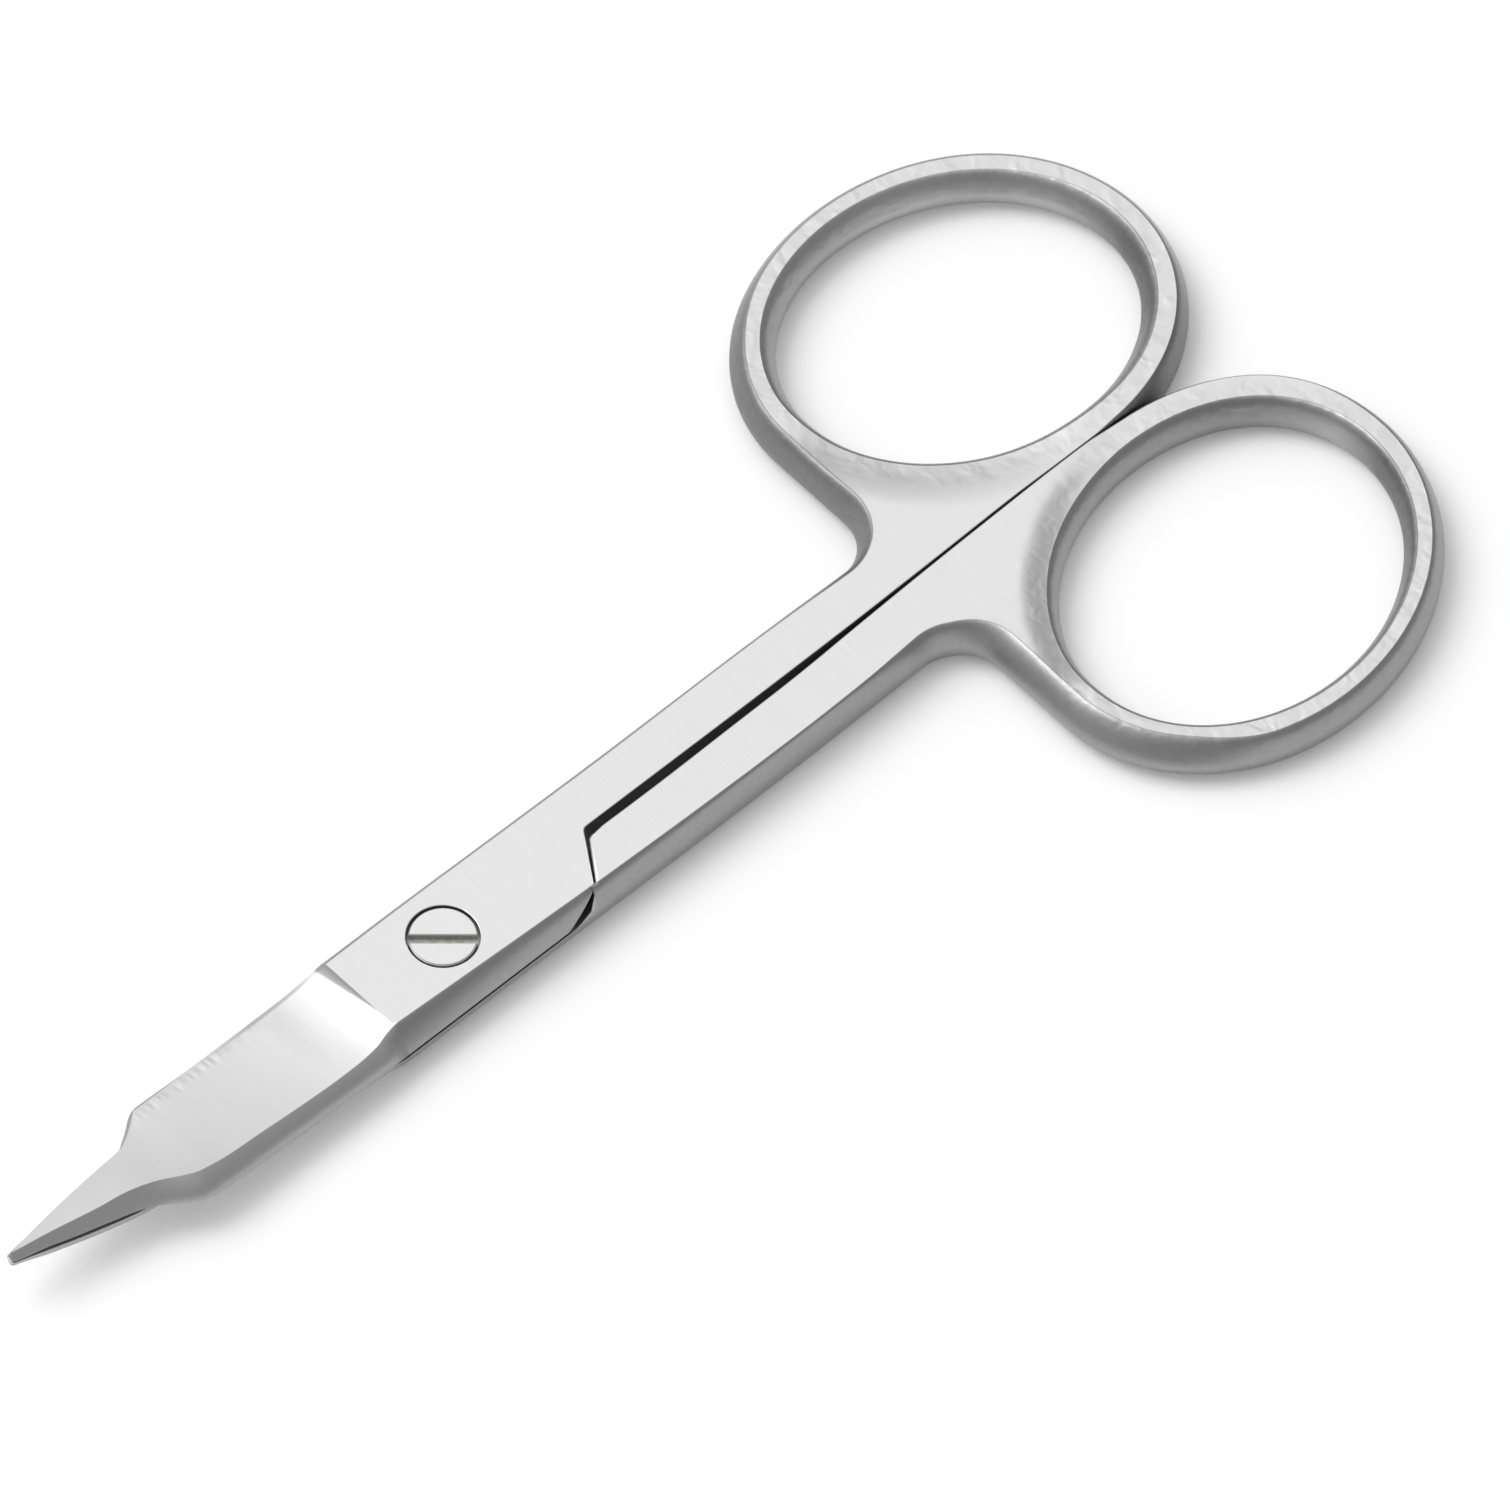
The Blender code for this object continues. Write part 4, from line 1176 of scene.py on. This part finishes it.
# %% Screw steel
MOTTLE_SIZE, OXIDE_ROUGHNESS = 0.3, 0.55
OXIDE_STARTS, OXIDE_FULL = 0.02, 0.12
OXIDE = ("#95938F", "#DEDCD8")
screw_steel.use_nodes = True
tree = screw_steel.node_tree
place = add_node(tree, "ShaderNodeTexCoord").outputs["Object"]
brush = brush_lines(tree, place)
mottle = add_node(tree, "ShaderNodeTexNoise", {
    "Vector": place, "Scale": 1 / (MOTTLE_SIZE * MM), "Detail": 3.0,
})
in_slot = add_node(tree, "ShaderNodeMapRange", {
    "Value": add_node(tree, "ShaderNodeSeparateXYZ", {"Vector": place}).outputs["Z"],
    "From Min": (PIVOT_THICKNESS - OXIDE_STARTS) * MM, "From Max": (PIVOT_THICKNESS - OXIDE_FULL) * MM,
})
face_colour, oxide_colour = (
    add_node(tree, "ShaderNodeMix", {
        "Factor": pattern, COLOUR_A: linear(dark), COLOUR_B: linear(light),
    }, data_type="RGBA").outputs[COLOUR_OUT]
    for pattern, (dark, light) in ((brush, BRUSHED), (mottle, OXIDE))
)
colour = add_node(tree, "ShaderNodeMix", {
    "Factor": in_slot, COLOUR_A: face_colour, COLOUR_B: oxide_colour,
}, data_type="RGBA").outputs[COLOUR_OUT]
roughness = add_node(tree, "ShaderNodeMapRange", {
    "Value": in_slot, "To Min": FLAT_ROUGHNESS, "To Max": OXIDE_ROUGHNESS,
})
relief = add_node(tree, "ShaderNodeBump", {"Height": brush, "Distance": BRUSH_DEPTH * MM})
feed(tree, tree.nodes["Principled BSDF"], {
    "Base Color": colour, "Metallic": 1.0, "Roughness": roughness, "Normal": relief,
})
print("screw material nodes:", len(tree.nodes))

# %% [markdown]
# ## Camera
#
# The photograph was taken with a long lens, from behind the blades' side and a little
# above 55 degrees. The aim, the roll and the scale were fitted to edges that the photo
# and the model share. A lens three metres away keeps the same flat perspective.

# %% Camera
AZIMUTH, ELEVATION, ROLL = math.radians(136.4321), math.radians(55.7699), math.radians(0.8384)
DISTANCE, SENSOR = 3.0, 36
PIXELS_PER_MM, IMAGE = 19.0976, 1510
FIT_POINT, FIT_SHIFT = Vector((-15, 0, 1.5)), (101.5134, 36.7962)
back = Vector((
    math.sin(AZIMUTH) * math.cos(ELEVATION), -math.cos(AZIMUTH) * math.cos(ELEVATION), math.sin(ELEVATION),
))
level_right = Vector((math.cos(AZIMUTH), math.sin(AZIMUTH), 0))
level_up = back.cross(level_right)
right = level_right * math.cos(ROLL) + level_up * math.sin(ROLL)
up = level_up * math.cos(ROLL) - level_right * math.sin(ROLL)
aim = FIT_POINT + right * (FIT_SHIFT[0] / PIXELS_PER_MM) + up * (FIT_SHIFT[1] / PIXELS_PER_MM)
lens_data = bpy.data.cameras.new("photo_camera")
lens_data.sensor_width = SENSOR
lens_data.lens = SENSOR * DISTANCE / (IMAGE / PIXELS_PER_MM * MM)
lens_data.clip_start, lens_data.clip_end = 0.1, 20
camera = add_object("photo_camera", lens_data)
axes = Matrix((right, up, back)).transposed()
camera.matrix_world = Matrix.Translation(aim * MM + back * DISTANCE) @ axes.to_4x4()
bpy.context.scene.camera = camera
print("lens", round(lens_data.lens, 1), "mm")

# %% [markdown]
# ## White table
#
# A product shot on white paper, which keeps the shadow of the scissors. In the photo
# the paper is nearly pure white. A stronger light would do that here, and burn the
# steel out with it, so the paper glows a little instead, for the camera and for what
# mirrors it, and lights nothing.

# %% Floor
FLOOR_FILL, FLOOR_REACH = 0.12, 3.0
floor_mesh = bpy.data.meshes.new("studio_floor")
corners = [(x * FLOOR_REACH, y * FLOOR_REACH, 0) for x, y in ((-1, -1), (1, -1), (1, 1), (-1, 1))]
floor_mesh.from_pydata(corners, [], [(0, 1, 2, 3)])
floor = add_object("studio_floor", floor_mesh)
paper = bpy.data.materials.new("white_paper_sweep")
paper.use_nodes = True
tree = paper.node_tree
rays = add_node(tree, "ShaderNodeLightPath").outputs
seen = rays["Is Camera Ray"]
for kind in ("Is Glossy Ray", "Is Transmission Ray"):
    seen = add_node(tree, "ShaderNodeMath", {0: seen, 1: rays[kind]}, operation="MAXIMUM")
fill = add_node(tree, "ShaderNodeMath", {0: seen, 1: FLOOR_FILL}, operation="MULTIPLY")
feed(tree, tree.nodes["Principled BSDF"], {
    "Base Color": linear("#F4F4F4"), "Roughness": 0.9,
    "Emission Color": (1, 1, 1, 1), "Emission Strength": fill,
})
floor_mesh.materials.append(paper)
print("paper glows by", FLOOR_FILL)

# %% [markdown]
# ## Soft light
#
# The light is a sky that is brightest overhead, and one large softbox behind the
# scissors on the left. A picture of a studio could light the steel too, but two plain
# lights are easier to aim: the flats mirror the softbox towards the camera, which makes
# them nearly white, and the shadow falls to the lower right.

# %% Sky and softbox
SKY_WAY = Vector((0.2, -0.5, 0.84)).normalized()
SKY_EDGE, SKY_DIM, SKY_BRIGHT = 0.5, 0.4, 1.38
world = bpy.data.worlds.new("studio_sky")
world.use_nodes = True
bpy.context.scene.world = world
tree = world.node_tree
facing = add_node(tree, "ShaderNodeVectorMath", {
    0: add_node(tree, "ShaderNodeTexCoord").outputs["Generated"], 1: SKY_WAY,
}, operation="DOT_PRODUCT").outputs["Value"]
glow = add_node(tree, "ShaderNodeMapRange", {
    "Value": facing, "From Min": SKY_EDGE, "From Max": 1.0, "To Min": SKY_DIM, "To Max": SKY_BRIGHT,
})
feed(tree, tree.nodes["Background"], {"Color": (1, 1, 1, 1), "Strength": glow})

SOFTBOX_WAY = Vector((0.28, -0.5, 0.82)).normalized()
SOFTBOX_AWAY, SOFTBOX_SIDE, SOFTBOX_WATTS = 1.6, 0.95, 9.5
softbox_data = bpy.data.lights.new("softbox", "AREA")
softbox_data.size = SOFTBOX_SIDE
softbox_data.energy = SOFTBOX_WATTS
softbox = add_object("softbox", softbox_data)
softbox.location = SOFTBOX_WAY * SOFTBOX_AWAY
softbox.rotation_euler = SOFTBOX_WAY.to_track_quat("Z", "Y").to_euler()
bpy.context.scene.view_settings.view_transform = "Standard"
print("softbox stands", SOFTBOX_AWAY, "m away")

# %% [markdown]
# ## Dress the imported model
#
# Each finished piece takes the place of its plain solid and moves with its body.

# %% Dress and finish
for piece, node, body, finish in (
    (halves["upper_half"], "upper_half", "upper", "satin_steel"),
    (halves["lower_half"], "lower_half", "lower", "satin_steel"),
    (screw, "pivot_screw", "lower", "screw_steel"),
):
    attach(piece, body)
    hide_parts(node)
